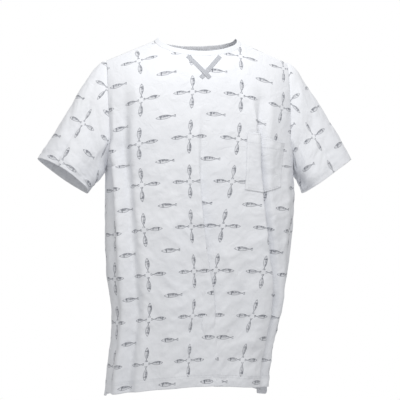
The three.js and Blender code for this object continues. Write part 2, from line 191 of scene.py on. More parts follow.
# %% [markdown]
# ## Distance along the cloth
#
# Cloth doesn't stretch much, so a panel is laid out by the distance along its own width. One table turns
# the share of a quarter section's length into the angle that places a point on it.

# %% Length along a section
_angle = np.linspace(0, np.pi / 2, 1500)
_quarter_x = 2.1 * np.sin(_angle) ** (2 / POWER)
_quarter_y = np.cos(_angle) ** (2 / POWER)
_run = np.concatenate([[0], np.cumsum(np.hypot(np.diff(_quarter_x), np.diff(_quarter_y)))])
_run /= _run[-1]


def quarter_length(z, x, way):
    """Length of a quarter section, (w^k + d^k)^(1/k), with the k that suits the section's power."""
    k = 1.42
    return (half_width(z, x) ** k + depth_at(z, way) ** k) ** (1 / k)


def edge_length(z, x, way):
    """Length along the section from the middle to the panel's edge."""
    angle = np.arcsin(edge_share(z) ** (POWER / 2))
    return quarter_length(z, x, way) * np.interp(angle, _angle, _run)


def along(p, z, way):
    """x of the point at the signed distance p along the section at height z."""
    share = np.clip(np.abs(p) / quarter_length(z, p, way), 0, 1)
    angle = np.interp(share, _run, _angle)
    return np.sign(p) * half_width(z, p) * np.sin(angle) ** (2 / POWER)


print("front at the chest, mm along its section:",
      round(float(sum(edge_length(ARMHOLE_BOTTOM, x, -1) for x in (-1, 1)))))

# %% [markdown]
# ## Folds
#
# A fold is where the cloth turns away from the body's surface and back. If theta is the angle by which it
# has turned at the distance q across the cloth, it moves on along the body by the sum of cos(theta) and
# off the body by the sum of sin(theta). Past 90 degrees it runs back behind itself, as a knife fold does,
# and the print goes with it because the print is laid out by q.

# %% Turning and adding up


def plateau(q, start, length, soft):
    """1 from start over the length, with smooth sides of the width soft."""
    rise = smooth((q - start) / soft + 0.5)
    return rise - smooth((q - start - length) / soft + 0.5)


def facing(points, centre):
    """1 if a grid's normals point away from the centre on the whole, or -1."""
    return np.sign(np.sum(normals_of(points) * (points - centre)))


def running_sum(values, step):
    """Sum of values times step along each row, starting at 0."""
    steps = 0.5 * (values[:, 1:] + values[:, :-1]) * step
    return np.concatenate([np.zeros((len(values), 1)), np.cumsum(steps, axis=1)], axis=1)


def crumple(q, v, seed, count=26, longest=190.0, shortest=28.0):
    """Soft creases: ridged sine waves, (1 - |sin|)^2, in random directions and sizes, bent by each other."""
    random = np.random.default_rng(seed)
    total = np.zeros(np.broadcast(q, v).shape)
    bend_q = 14 * np.sin(v / 61 + seed) + 9 * np.sin(q / 37 + v / 83)
    bend_v = 16 * np.sin(q / 53 + seed) + 8 * np.sin(v / 41 - q / 71)
    for _ in range(count):
        size = np.exp(random.uniform(np.log(shortest), np.log(longest)))
        turn, phase, patch = random.uniform(0, np.pi), *random.uniform(0, 2 * np.pi, 2)
        wave = ((q + bend_q) * np.cos(turn) + (v + bend_v) * np.sin(turn)) * np.pi / size + phase
        where = 0.5 + 0.5 * np.sin(q / (1.7 * size) + patch) * np.sin(v / (2.1 * size) - phase)
        total += (size / longest) ** 0.8 * where * ((1 - np.abs(np.sin(wave))) ** 2 - 0.3)
    return total / np.sqrt(count)


def fine_crumple(q, v, seed):
    """The smallest creases, 15 to 80 mm wide."""
    return crumple(q, v, seed, count=34, longest=80.0, shortest=15.0)


def normals_of(points):
    """Unit normals of a grid: the cross product of its direction along a row and its direction up."""
    n = np.cross(np.gradient(points, axis=1), np.gradient(points, axis=0))
    return n / np.maximum(np.linalg.norm(n, axis=-1, keepdims=True), 1e-9)


print("a full plateau is", float(plateau(20.0, 0, 40, 10)), "in its middle")

# %% [markdown]
# ## From a grid to a mesh
#
# All meshes are made here, in whole arrays. The print follows the cloth, so each grid carries a UV map
# in metres across and up the flat cloth.

# %% Grid mesh


def make_mesh(name, points, faces, material, uv=None, shade_smooth=True):
    """A mesh object from points in millimetres, quads or triangles as an index array, and a UV per point."""
    mesh = bpy.data.meshes.new(name)
    mesh.vertices.add(len(points))
    mesh.vertices.foreach_set("co", (np.asarray(points, float) * MM).ravel())
    sides = faces.shape[1]
    mesh.loops.add(faces.size)
    mesh.loops.foreach_set("vertex_index", faces.ravel().astype(np.int32))
    mesh.polygons.add(len(faces))
    mesh.polygons.foreach_set("loop_start", np.arange(0, faces.size, sides, dtype=np.int32))
    mesh.polygons.foreach_set("loop_total", np.full(len(faces), sides, dtype=np.int32))
    mesh.polygons.foreach_set("use_smooth", np.full(len(faces), shade_smooth))
    if uv is not None:
        layer = mesh.uv_layers.new(name="cloth")
        layer.data.foreach_set("uv", (np.asarray(uv, float)[faces.ravel()] * MM).ravel())
    mesh.update(calc_edges=True)
    mesh.validate()
    made = bpy.data.objects.new(name, mesh)
    bpy.context.scene.collection.objects.link(made)
    for look in material if isinstance(material, (list, tuple)) else [material]:
        mesh.materials.append(look)
    return made


def grid_faces(rows, cols, closed=False, flip=False):
    """Quads of a grid of rows by cols points; closed joins the last column to the first."""
    r, c = np.meshgrid(np.arange(rows - 1), np.arange(cols if closed else cols - 1), indexing="ij")
    nxt = (c + 1) % cols
    quads = np.stack([r * cols + c, r * cols + nxt, (r + 1) * cols + nxt, (r + 1) * cols + c], -1)
    quads = quads.reshape(-1, 4)
    return quads[:, ::-1] if flip else quads


def cloth(name, points, uv, materials, centre, thickness=CLOTH):
    """A grid of cloth whose first finish faces away from the centre, with a thickness inwards."""
    faces = grid_faces(*points.shape[:2], flip=facing(points, centre) < 0)
    made = make_mesh(name, points.reshape(-1, 3), faces, materials, uv.reshape(-1, 2))
    wall = made.modifiers.new("thickness", "SOLIDIFY")
    wall.thickness = thickness * MM
    wall.offset = -1
    wall.use_even_offset = False
    if len(made.data.materials) > 1:
        wall.material_offset = 1
    return made


print("faces of a 3 by 4 grid, open and as a tube:", [len(grid_faces(3, 4, closed=c)) for c in (False, True)])

# %% [markdown]
# ## Materials
#
# Every finish starts from the real one: what it is called, how its surface was made and what that gives
# the eye. One helper adds a node, sets it and feeds its inputs.

# %% Node helper and colours


def node(tree, kind, inputs=(), out=0, **settings):
    """Adds a shader node with its settings; inputs are sockets or plain values. Returns one output."""
    made = tree.nodes.new("ShaderNode" + kind)
    for name, value in settings.items():
        setattr(made, name, value)
    pairs = inputs.items() if isinstance(inputs, dict) else enumerate(inputs)
    for name, value in pairs:
        if isinstance(value, bpy.types.NodeSocket):
            tree.links.new(value, made.inputs[name])
        else:
            made.inputs[name].default_value = value
    return made.outputs[out] if made.outputs else made


def colour(text):
    """An sRGB hex colour as a linear RGBA value."""
    channels = np.array([int(text[i:i + 2], 16) for i in (1, 3, 5)]) / 255
    linear = np.where(channels <= 0.04045, channels / 12.92, ((channels + 0.055) / 1.055) ** 2.4)
    return (*map(float, linear), 1.0)


def new_material(name):
    """A node material with an empty tree, and the tree."""
    made = bpy.data.materials.new(name)
    made.use_nodes = True
    tree = made.node_tree
    tree.nodes.clear()
    return made, tree


def finish_surface(tree, base, roughness, normal=None, **plain):
    """Joins a Principled shader to the output; plain holds values that are the same all over."""
    inputs = {"Base Color": base, "Roughness": roughness, **plain}
    if normal is not None:
        inputs["Normal"] = normal
    shader = node(tree, "BsdfPrincipled", inputs)
    node(tree, "OutputMaterial", {"Surface": shader})


print("mid grey #808080 is", round(colour("#808080")[0], 3), "in linear light")

# %% [markdown]
# ### One fish of the print
#
# The print is pigment on the outer face: fish in fours, tails together, with one more fish in each space
# between them. It could be drawn as an image, but an outline and a few lines of ink are enough for a small
# fish. It is drawn as a curve of its half width along its length, and is filled with fine crossing lines
# for scales, a darker back, a gill line and a pale eye.

# %% Fish
CELL_U, CELL_V = 110.0, 95.5  # from one cross to the next, across and up, in mm
FISH_FROM, FISH_REACH = 5.0, 41.0  # from the middle of a cross to a tail and to a nose
FISH_WIDE = 9.0
UPRIGHT = 1.13  # the crosses are this much shorter than they are wide
SINGLE_HALF = 22.0
SCALE_LINES = 2.2  # radians for each mm, so a scale is 2.9 mm long
SOFT_EDGE = 0.35
GILL_AT, GILL_HALF = 0.74, 0.022  # as shares of the fish's length
EYE_AT, EYE_UP, EYE_RING, EYE_HALF = 0.86, 0.9, 0.032, 0.014
OUTLINE = [(0, 0.30), (0.05, 0.31), (0.10, 0.20), (0.16, 0.10), (0.30, 0.28), (0.50, 0.50), (0.70, 0.50),
           (0.88, 0.31), (1, 0)]


def fish_outline(tree, share):
    """Half width of a fish, as a share of its full width, at a share of its length from the tail."""
    profile = node(tree, "FloatCurve", {"Value": share})
    curve = profile.node.mapping.curves[0]
    curve.points[0].location, curve.points[1].location = OUTLINE[0], OUTLINE[-1]
    for place in OUTLINE[1:-1]:
        curve.points.new(*place)
    profile.node.mapping.update()
    return profile


print("points in a fish's outline:", len(OUTLINE))

# %% [markdown]
# ### The ink of a fish
#
# Each part of the drawing is a number from 0 to 1 at a place on the cloth, and the darkest wins: the
# scales, the outline just inside the edge, and the gill. The eye is left paler. All of it is cut off where
# the fish ends.

# %% Fish ink


def fish_eye(tree, share, t, length):
    """A ring round the eye: 1 where the distance from the eye, sqrt(r^2 + t^2), is that of the ring."""
    eye_r = node(tree, "Math", (share, EYE_AT), operation="SUBTRACT")
    eye_t = node(tree, "Math", (t, EYE_UP), operation="SUBTRACT")
    eye_t = node(tree, "Math", (eye_t, 1 / length), operation="MULTIPLY")
    squares = [node(tree, "Math", (one, one), operation="MULTIPLY") for one in (eye_r, eye_t)]
    total = node(tree, "Math", squares, operation="ADD")
    off = node(tree, "Math", (total,), operation="SQRT")
    return node(tree, "Math", (off, EYE_RING, EYE_HALF), operation="COMPARE")


def fish_scales(tree, r, t, mottle):
    """Ink inside a fish: the larger of two crossing sine lines, times the mottle and a darker back."""
    lines = []
    for crossing in ("ADD", "SUBTRACT"):
        slant = node(tree, "Math", (r, t), operation=crossing)
        slant = node(tree, "Math", (slant, SCALE_LINES), operation="MULTIPLY")
        lines.append(node(tree, "Math", (slant,), operation="SINE"))
    crossed = node(tree, "Math", lines, operation="MAXIMUM")
    scales = node(tree, "MapRange", {"Value": crossed, "From Min": 0.3, "From Max": 0.95, "To Min": 0.45,
                                     "To Max": 1.0})
    dark_back = node(tree, "MapRange", {"Value": t, "From Min": -1.8, "From Max": 1.0, "To Min": 0.26,
                                        "To Max": 1.1})
    scales = node(tree, "Math", (scales, mottle), operation="MULTIPLY")
    return node(tree, "Math", (scales, dark_back), operation="MULTIPLY")


def fish_ink(tree, r, t, low, high, mottle):
    """How much ink a fish leaves: r runs from tail to nose between low and high, t goes across it."""
    share = node(tree, "MapRange", {"Value": r, "From Min": low, "From Max": high})
    half = node(tree, "Math", (fish_outline(tree, share), FISH_WIDE), operation="MULTIPLY")
    across = node(tree, "Math", (t,), operation="ABSOLUTE")
    inside = node(tree, "Math", (half, across), operation="SUBTRACT")
    body = node(tree, "MapRange", {"Value": inside, "From Min": -SOFT_EDGE, "From Max": SOFT_EDGE})
    past_tail = node(tree, "Math", (r, low), operation="GREATER_THAN")
    before_nose = node(tree, "Math", (r, high), operation="LESS_THAN")
    ends = node(tree, "Math", (past_tail, before_nose), operation="MULTIPLY")
    edge = node(tree, "MapRange", {"Value": inside, "From Min": 1.35, "From Max": 0.5, "To Max": 0.92})
    gill = node(tree, "Math", (share, GILL_AT, GILL_HALF), operation="COMPARE")
    ink = node(tree, "Math", (fish_scales(tree, r, t, mottle), edge), operation="MAXIMUM")
    ink = node(tree, "Math", (ink, gill), operation="MAXIMUM")
    paler = node(tree, "Math", (fish_eye(tree, share, t, high - low), 0.8), operation="MULTIPLY")
    ink = node(tree, "Math", (ink, paler), operation="SUBTRACT")
    ink = node(tree, "Math", (ink, body), operation="MULTIPLY")
    return node(tree, "Math", (ink, ends), operation="MULTIPLY")


print("a fish in a cross is", FISH_REACH - FISH_FROM, "mm long, a single one", 2 * SINGLE_HALF, "mm")

# %% [markdown]
# ### The repeat of the print
#
# A cross repeats every 110 mm across the cloth and every 95.5 mm up it. The flat coordinates are cut into
# such cells, and each cell is measured from its middle. Of the two distances from the middle the larger
# runs along a fish and the other goes across it, so one fish makes all four. A second set of cells, moved
# by half a step each way, holds the single fish.

# %% Repeat of the print


def from_middle(tree, along_cloth, cell, shift, half):
    """Millimetres from the middle of a cell: cell times (the fraction of a step, less a half)."""
    steps = node(tree, "MapRange", {"Value": along_cloth, "From Min": 0.0, "From Max": cell * MM,
                                    "To Min": 0.5 - shift / cell - half, "To Max": 1.5 - shift / cell - half},
                 clamp=False)
    part = node(tree, "Math", (steps,), operation="FRACT")
    part = node(tree, "Math", (part, 0.5), operation="SUBTRACT")
    return node(tree, "Math", (part, cell), operation="MULTIPLY")


def fish_print(tree, shift_u, shift_v):
    """Ink of the whole pattern, from the UV map in metres; the shifts place a cross, in millimetres."""
    uv = node(tree, "UVMap", uv_map="cloth")
    axes = node(tree, "SeparateXYZ", (uv,)).node.outputs
    blots = node(tree, "TexNoise", {"Vector": uv, "Scale": 240.0, "Detail": 1.0})
    mottle = node(tree, "MapRange", {"Value": blots, "From Min": 0.42, "From Max": 0.58, "To Min": 0.5,
                                     "To Max": 1.2})
    repeats = ((axes[0], CELL_U, shift_u), (axes[1], CELL_V, shift_v))
    u, v = (from_middle(tree, *one, 0) for one in repeats)
    v = node(tree, "Math", (v, UPRIGHT), operation="MULTIPLY")
    far = [node(tree, "Math", (one,), operation="ABSOLUTE") for one in (u, v)]
    wide = node(tree, "Math", far, operation="GREATER_THAN")
    r = node(tree, "Math", far, operation="MAXIMUM")
    t = node(tree, "Mix", {"Factor": wide, 2: u, 3: v}, data_type="FLOAT")
    crosses = fish_ink(tree, r, t, FISH_FROM, FISH_REACH, mottle)
    u, v = (from_middle(tree, *one, 0.5) for one in repeats)
    r = node(tree, "Math", (SINGLE_HALF, u), operation="SUBTRACT")
    singles = fish_ink(tree, r, v, 0.0, 2 * SINGLE_HALF, mottle)
    return node(tree, "Math", (crosses, singles), operation="MAXIMUM")


print("a cross every", CELL_U, "by", CELL_V, "mm")

# %% [markdown]
# ### Cotton
#
# Plain-woven cotton, washed soft: matt, a little uneven in its threads, with fine fuzz that catches light at
# its edges, which is a little sheen. Its threads really stand about 0.5 mm apart. They are drawn at 1.1 mm,
# because finer ones wouldn't show. The same print, much fainter, shows through on the reverse. The neckband
# and the pocket are the same cotton left unprinted.

# %% Cotton
WAVE_STEP = 0.314  # a Wave texture of scale 1 repeats every 0.314 m
FUZZ = {"Sheen Weight": 0.12, "Sheen Roughness": 0.5}


def weave_normal(tree, threads_mm=1.1, height=0.12):
    """Bump of a plain weave, threads that cross every threads_mm, and of soft creases."""
    uv = node(tree, "UVMap", uv_map="cloth")
    settings = {"Vector": uv, "Scale": WAVE_STEP / (threads_mm * MM) / 2, "Distortion": 1.2}
    warp_and_weft = [node(tree, "TexWave", settings, out=1, bands_direction=way) for way in "XY"]
    threads = node(tree, "Math", warp_and_weft, operation="MAXIMUM")
    fine = node(tree, "Bump", {"Strength": 0.25, "Distance": height * MM, "Height": threads})
    creases = node(tree, "TexNoise", {"Vector": uv, "Scale": 42.0, "Detail": 5.0, "Roughness": 0.6,
                                      "Distortion": 0.8})
    return node(tree, "Bump", {"Strength": 0.8, "Distance": 2.6 * MM, "Height": creases, "Normal": fine})


def printed_cotton(name, shift_u, shift_v, strength=1.0):
    """Washed white cotton with the pigment print; strength fades it, as on the cloth's reverse."""
    made, tree = new_material(name)
    place = node(tree, "TexCoord", out=3)
    ink = fish_print(tree, shift_u, shift_v)
    slub = node(tree, "TexNoise", {"Vector": place, "Scale": 900.0, "Detail": 2.0})
    cloud = node(tree, "TexNoise", {"Vector": place, "Scale": 9.0, "Detail": 3.0})
    worn = node(tree, "MapRange", {"Value": slub, "From Min": 0.3, "From Max": 0.7, "To Min": 0.72,
                                   "To Max": 1.0})
    amount = node(tree, "Math", (ink, worn), operation="MULTIPLY")
    amount = node(tree, "Math", (amount, strength), operation="MULTIPLY")
    white = node(tree, "Mix", {0: cloud, 6: colour("#eceef3"), 7: colour("#f4f5f8")}, out=2, data_type="RGBA")
    base = node(tree, "Mix", {0: amount, 6: white, 7: colour("#555966")}, out=2, data_type="RGBA")
    finish_surface(tree, base, 0.92, weave_normal(tree), **FUZZ)
    return made


def plain_cotton():
    """Unprinted white cotton with the same weave."""
    made, tree = new_material("plain_cotton")
    place = node(tree, "TexCoord", out=3)
    cloud = node(tree, "TexNoise", {"Vector": place, "Scale": 14.0, "Detail": 4.0})
    base = node(tree, "Mix", {0: cloud, 6: colour("#e9ebf0"), 7: colour("#f5f6f9")}, out=2, data_type="RGBA")
    finish_surface(tree, base, 0.9, weave_normal(tree), **FUZZ)
    return made


FRONT_PRINT = printed_cotton("printed_cotton", -29.0, 58.5)
BACK_PRINT = printed_cotton("printed_cotton_back", 20.0, 30.0)
SLEEVE_PRINT = printed_cotton("printed_cotton_sleeve", 0.0, 30.0)
REVERSE = printed_cotton("cotton_reverse", -29.0, 58.5, 0.22)
PLAIN = plain_cotton()
print("nodes in the front's cotton:", len(FRONT_PRINT.node_tree.nodes))

# %% [markdown]
# ### Tape and thread
#
# The crossed tapes are herringbone: two threads woven in slanting stripes that turn back every few
# millimetres, which a zigzag of the distance across the tape gives. The stitching is polyester thread, a
# little brighter and smoother than cotton, and its twist is a fine stripe.

# %% Tape and thread
ZIGZAG, STRIPE = 2.5, 1.5  # mm across the tape to where a stripe turns back, and from stripe to stripe


def herringbone_tape():
    """Grey tape 9 mm wide: stripes at 45 degrees that reverse every 2.5 mm across it."""
    made, tree = new_material("herringbone_tape")
    uv = node(tree, "UVMap", uv_map="cloth")
    axes = node(tree, "SeparateXYZ", (uv,)).node.outputs
    zigzag = node(tree, "Math", (axes[0], ZIGZAG * MM), operation="PINGPONG")
    slant = node(tree, "Math", (axes[1], zigzag), operation="ADD")
    slant = node(tree, "Math", (slant, 2 * np.pi / (STRIPE * MM)), operation="MULTIPLY")
    slant = node(tree, "Math", (slant,), operation="SINE")
    stripe = node(tree, "MapRange", {"Value": slant, "From Min": -0.5, "From Max": 0.5})
    base = node(tree, "Mix", {0: stripe, 6: colour("#8b8e97"), 7: colour("#e2e4e8")}, out=2, data_type="RGBA")
    bump = node(tree, "Bump", {"Strength": 0.5, "Distance": 0.2 * MM, "Height": stripe})
    finish_surface(tree, base, 0.85, bump, **{"Sheen Weight": 0.1})
    return made


def sewing_thread():
    """White polyester thread with its twist drawn as fine slanting stripes."""
    made, tree = new_material("sewing_thread")
    place = node(tree, "TexCoord", out=3)
    twist = node(tree, "TexWave", {"Vector": place, "Scale": 500.0, "Distortion": 2.0}, out=1)
    base = node(tree, "Mix", {0: twist, 6: colour("#dfe1e6"), 7: colour("#f7f8fa")}, out=2, data_type="RGBA")
    bump = node(tree, "Bump", {"Strength": 0.4, "Distance": 0.05 * MM, "Height": twist})
    finish_surface(tree, base, 0.6, bump)
    return made


TAPE, THREAD = herringbone_tape(), sewing_thread()
print("finishes:", TAPE.name, THREAD.name)

# %% [markdown]
# ### Press-stud plastic and brass
#
# The studs' caps are moulded plastic, which is smooth, a little shiny and faintly rippled. Their working
# halves are nickel-plated brass, which tumbling leaves bright with fine scratches that blur its gloss.

# %% Plastic and brass


def moulded_plastic():
    """White moulded polypropylene: smooth and faintly rippled."""
    made, tree = new_material("moulded_plastic")
    place = node(tree, "TexCoord", out=3)
    ripple = node(tree, "TexNoise", {"Vector": place, "Scale": 700.0, "Detail": 2.0})
    base = node(tree, "Mix", {0: ripple, 6: colour("#eeeeea"), 7: colour("#f6f6f3")}, out=2, data_type="RGBA")
    bump = node(tree, "Bump", {"Strength": 0.1, "Distance": 0.05 * MM, "Height": ripple})
    finish_surface(tree, base, 0.32, bump, IOR=1.49)
    return made


def plated_brass():
    """Nickel-plated brass, pressed and tumbled: bright with fine scratches."""
    made, tree = new_material("plated_brass")
    place = node(tree, "TexCoord", out=3)
    scratch = node(tree, "TexNoise", {"Vector": place, "Scale": 1500.0, "Detail": 3.0})
    rough = node(tree, "MapRange", {"Value": scratch, "To Min": 0.2, "To Max": 0.38})
    base = node(tree, "Mix", {0: scratch, 6: colour("#b9bbbe"), 7: colour("#d0d2d4")}, out=2,
                data_type="RGBA")
    finish_surface(tree, base, rough, Metallic=1.0)
    return made


CAPS, METAL = moulded_plastic(), plated_brass()
print("finishes:", CAPS.name, METAL.name)

# %% [markdown]
# ## Stitches
#
# A twin needle leaves two rows of short stitches that lie just proud of the cloth. Each stitch is a small
# spindle, and a row of them is laid along a line on the surface at its real pitch.

# %% Stitch rows
STITCH, STITCH_GAP, THREAD_RADIUS = 3.0, 1.0, 0.28


def stitch_row(path, outward, lift=0.15):
    """Points and faces of stitches along a path: spindles whose radius goes as the root of sin."""
    run = np.concatenate([[0], np.cumsum(np.linalg.norm(np.diff(path, axis=0), axis=1))])
    starts = np.arange(STITCH_GAP, run[-1] - STITCH, STITCH + STITCH_GAP)
    along_stitch = np.linspace(0, 1, 5)
    where = starts[:, None] + STITCH * along_stitch
    centre = np.stack([np.interp(where, run, path[:, k]) for k in range(3)], -1)
    up = np.stack([np.interp(where, run, outward[:, k]) for k in range(3)], -1)
    up /= np.linalg.norm(up, axis=-1, keepdims=True)
    forward = centre[:, -1:] - centre[:, :1]
    forward = np.broadcast_to(forward / np.linalg.norm(forward, axis=-1, keepdims=True), centre.shape)
    side = np.cross(forward, up)
    side /= np.linalg.norm(side, axis=-1, keepdims=True)
    radius = THREAD_RADIUS * np.sqrt(np.sin(np.pi * (0.06 + 0.88 * along_stitch)))[None, :, None, None]
    spin = np.arange(4) * np.pi / 2 + np.pi / 4
    ring = (np.cos(spin)[:, None] * side[:, :, None] + np.sin(spin)[:, None] * up[:, :, None]) * radius
    bow = 0.25 * np.sin(np.pi * along_stitch)[None, :, None]
    points = (centre + up * (lift + bow))[:, :, None] + ring
    ends = np.array([[3, 2, 1, 0], [16, 17, 18, 19]])
    faces = np.concatenate([grid_faces(5, 4, closed=True), ends])
    faces = (faces[None] + 20 * np.arange(len(starts))[:, None, None]).reshape(-1, 4)
    return points.reshape(-1, 3), faces


def stitches(name, rows):
    """One piece of all the stitch rows given as (path, outward) pairs."""
    points, faces, count = [], [], 0
    for path, outward in rows:
        p, f = stitch_row(path, outward)
        points.append(p)
        faces.append(f + count)
        count += len(p)
    made = make_mesh(name, np.concatenate(points), np.concatenate(faces)[:, ::-1], THREAD)
    return made


print("stitches in 100 mm:", int(100 / (STITCH + STITCH_GAP)))

# %% [markdown]
# ## Rows of a panel
#
# The front and each side of the back are laid out in the same way. They could be cut from a plain grid,
# but then the hem and the neckline would be stepped. So a column of the grid runs from the hem to the
# shoulder or the neckline itself, its rows close together where the hem is turned up.

# %% Panel rows
HEM_ZONE, HEM_ROWS, LOW_ROWS, HIGH_ROWS = 26.0, 16, 122, 60


def flat_edge(z, side, way):
    """Half of the cloth's own width at height z: constant up to the armhole, then cut away with it."""
    taper = down(z, (-800, 1), (-300, 1), (-200, 0.95), (-110, 0.89), (-44, 0.86), (0, 0.86))
    return FLAT_HALF_WIDTH * taper * edge_length(z, side, way) / quarter_length(z, side, way)


def rows_of(foot_x, head_x, way, sag):
    """Heights of the rows of columns that stand at foot_x on the hem and head_x on the upper edge."""
    hem = (hem_z(foot_x) - sag)[None]
    low, high = (np.linspace(0, 1, count)[1:, None] for count in (LOW_ROWS, HIGH_ROWS))
    high = 0.35 * high + 0.65 * np.sin(np.pi / 2 * high)
    start = hem + HEM_ZONE
    return np.concatenate([
        hem + np.linspace(0, HEM_ZONE, HEM_ROWS)[:, None],
        start + (ARMHOLE_BOTTOM - start) * low,
        ARMHOLE_BOTTOM + (top_z(head_x, way)[None] - ARMHOLE_BOTTOM) * high,
    ])


def reach(z, way, end):
    """Where an edge is, along the section and across the flat cloth: a side edge, or end past the middle."""
    if end in (-1, 1):
        return end * edge_length(z, end, way), end * flat_edge(z, end, way)
    return np.full(np.shape(z), float(end)), np.full(np.shape(z), float(end))


def panel_rows(way, ends, columns, sag=0.0):
    """Heights z of the grid, found by stepping each column's upper end onto the upper edge."""
    t = np.linspace(0, 1, columns)
    head_z, foot_z = np.zeros(columns), np.full(columns, HEM_Z)
    for _ in range(12):
        p = reach(head_z, way, ends[0])[0] * (1 - t) + reach(head_z, way, ends[1])[0] * t
        head_z = 0.5 * head_z + 0.5 * top_z(along(p, head_z, way), way)
    head_x = along(p, head_z, way)
    p = reach(foot_z, way, ends[0])[0] * (1 - t) + reach(foot_z, way, ends[1])[0] * t
    foot_x = along(p, foot_z, way)
    return t, rows_of(foot_x, head_x, way, sag)


print("rows in a panel:", HEM_ROWS + LOW_ROWS + HIGH_ROWS - 2)

# %% [markdown]
# ## Folds in a panel
#
# A panel's cloth starts and ends at given distances along the body's section, and what is left over goes
# into the folds. They could be pushed out along the normals, but then the cloth would stretch. Here each
# fold takes up cloth as it turns, and the rest of the row is spread evenly between the side seams.

# %% Panel folds
INSIDE = np.array([0.0, 0.0, -400.0])


def evened(values, z, reach=45.0):
    """A column of values, one per row at height z, averaged with weights exp(-(distance / reach)^2)."""
    weights = np.exp(-(((z[:, None] - z[None]) / reach) ** 2)) * np.gradient(z)[None]
    return weights @ values / weights.sum(1, keepdims=True)


def levelled(off, reach=26):
    """Takes out of each row its own wide average, a cos^2 window of reach columns to each side.

    A fold then keeps its shape, and the cloth beside it comes back to the body.
    """
    i = np.arange(off.shape[1])
    weights = np.cos(np.pi / 2 * np.clip(np.abs(i[:, None] - i) / reach, 0, 1)) ** 2
    return off - off @ (weights / weights.sum(1, keepdims=True)).T


def outward(way, x, z):
    """Level unit normal of the body's section at x, from its slope over 2 mm."""
    rise = body_point(way, x + 1, z)[..., 1] - body_point(way, x - 1, z)[..., 1]
    n = np.stack([-way * rise, np.full_like(rise, 2.0 * way), np.zeros_like(rise)], -1)
    return n / np.linalg.norm(n, axis=-1, keepdims=True)


def panel(way, ends, columns, turning, wrinkle, hold, lift=None, sag=0.0):
    """Grid points and flat coordinates of one panel; turning gives degrees at (q, z), wrinkle millimetres."""
    t, z = panel_rows(way, ends, columns, sag)
    (p0, q0), (p1, q1) = reach(z, way, ends[0]), reach(z, way, ends[1])
    q = q0 * (1 - t) + q1 * t
    turn, step = np.radians(turning(q, z)), np.diff(q, axis=1)
    on, off = running_sum(np.cos(turn), step), running_sum(np.sin(turn), step)
    p = p0 + (p1 - p0) * on / on[:, -1:]
    # Inside the panel the cloth runs on evenly; only its edges follow the armhole's curve.
    height = z[:, columns // 2]
    fullness = evened((p1 - p0) / on[:, -1:], height)
    first, middle = (np.array([[np.interp(0, *row)] for row in zip(q, values)]) for values in (on, p))
    middle = evened(middle, height)
    near_edge = smooth(np.maximum(q - q1, q0 - q) / 90 + 1)
    p = (middle + (on - first) * fullness) * (1 - near_edge) + p * near_edge
    x = along(p, z, way)
    below_top = smooth((z[-1] - z) / 45)
    off = (levelled(off) + wrinkle(q, z)) * hold(q, q0, q1) * below_top
    if lift is not None:
        off = off + lift(x)
    points = body_point(way, x, z) + outward(way, x, z) * off[..., None]
    unfolded = body_point(way, along(p0 + (p1 - p0) * t, z, way), z)
    rows = np.linalg.norm(np.diff(unfolded, axis=0), axis=-1)
    up = np.concatenate([np.zeros((1, columns)), np.cumsum(rows, axis=0)])
    return points, np.stack([q, up], -1), z


print("the front laid flat at the hem and the shoulder, mm:",
      [round(2 * float(flat_edge(z, 1, -1))) for z in (HEM_Z, -44.0)])

# %% [markdown]
# ## The front
#
# One panel from side seam to side seam. It hangs from the shoulders, so the cloth is smooth at the top and
# the folds grow downwards: a soft one beside each side, and in the middle a knife fold, where the right
# half comes to lie over the left, deeper and deeper to the hem.

# %% Front folds


def front_turning(q, z):
    """The front's angle of turning, in degrees, at q across the cloth and at height z."""
    soft = 10.0
    centre = down(z, (-760, 170), (-600, 156), (-497, 140), (-400, 118), (-340, 98), (-260, 66), (-185, 34),
                  (-130, 0), (-60, 0))
    centre_at = down(z, (-745, 36), (-600, -4), (-497, -22), (-340, -22), (-183, -13), (-60, -8))
    centre_wide = down(z, (-745, 42), (-600, 34), (-497, 30), (-340, 20), (-183, 11), (-60, 8))
    left = down(z, (-760, 34), (-640, 52), (-560, 72), (-480, 82), (-250, 84), (-170, 60), (-95, 0), (-40, 0))
    left_at = down(z, (-740, 222), (-612, 208), (-497, 176), (-340, 138), (-150, 112), (-60, 106))
    right = down(z, (-760, 50), (-600, 52), (-480, 60), (-300, 66), (-200, 56), (-150, 32), (-105, 8),
                 (-60, 0))
    right_at = down(z, (-745, -240), (-480, -236), (-300, -228), (-120, -214))
    theta = -centre * plateau(q, centre_at, centre_wide, soft)
    theta += -left * plateau(q, left_at, 22, soft) + 0.74 * left * plateau(q, left_at + 24, 26, 16)
    theta += right * plateau(q, right_at - 30, 24, 14) - right * plateau(q, right_at, 36, 16)
    theta += 0.8 * right * plateau(q, right_at + 40, 24, 18)
    grow = down(z, (-760, 1), (-560, 0.8), (-400, 0.5), (-200, 0.2), (-60, 0.05))
    theta += grow * 26 * np.sin(q / 21 + 0.004 * z + 0.6) * np.sin(q / 47 + 1.0)
    side = down(z, (-760, 16), (-620, 26), (-450, 22), (-300, 10), (-200, 0), (-60, 0))
    theta += side * np.sin((q - 245) / 9.5 + z / 160) * smooth((q - 226) / 16) * smooth((294 - q) / 14)
    return theta


print("the middle fold turns, degrees at the hem and the chest:",
      [round(float(-front_turning(np.array(q), np.array(z)))) for q, z in ((60.0, -740.0), (-10.0, -275.0))])

# %% [markdown]
# ### The front's creases
#
# Creases are too small to take up cloth, so they are only pushed out along the normals. Ridged waves in
# random directions make the small ones all over, stronger towards the hem. The long ones, where the cloth
# is drawn to the middle fold, are placed one by one.

# %% Front cloth
FRONT_COLS = 240
# Each long crease: q and z of its two ends, and its height.
LONG_CREASES = [
    (-30, -382, 4, -436, 2.6), (-104, -528, -80, -574, 2.2), (58, -458, 108, -530, 3.0),
    (30, -560, 62, -640, 2.2), (-70, -640, -40, -690, 2.0), (96, -120, 120, -190, 1.6),
]


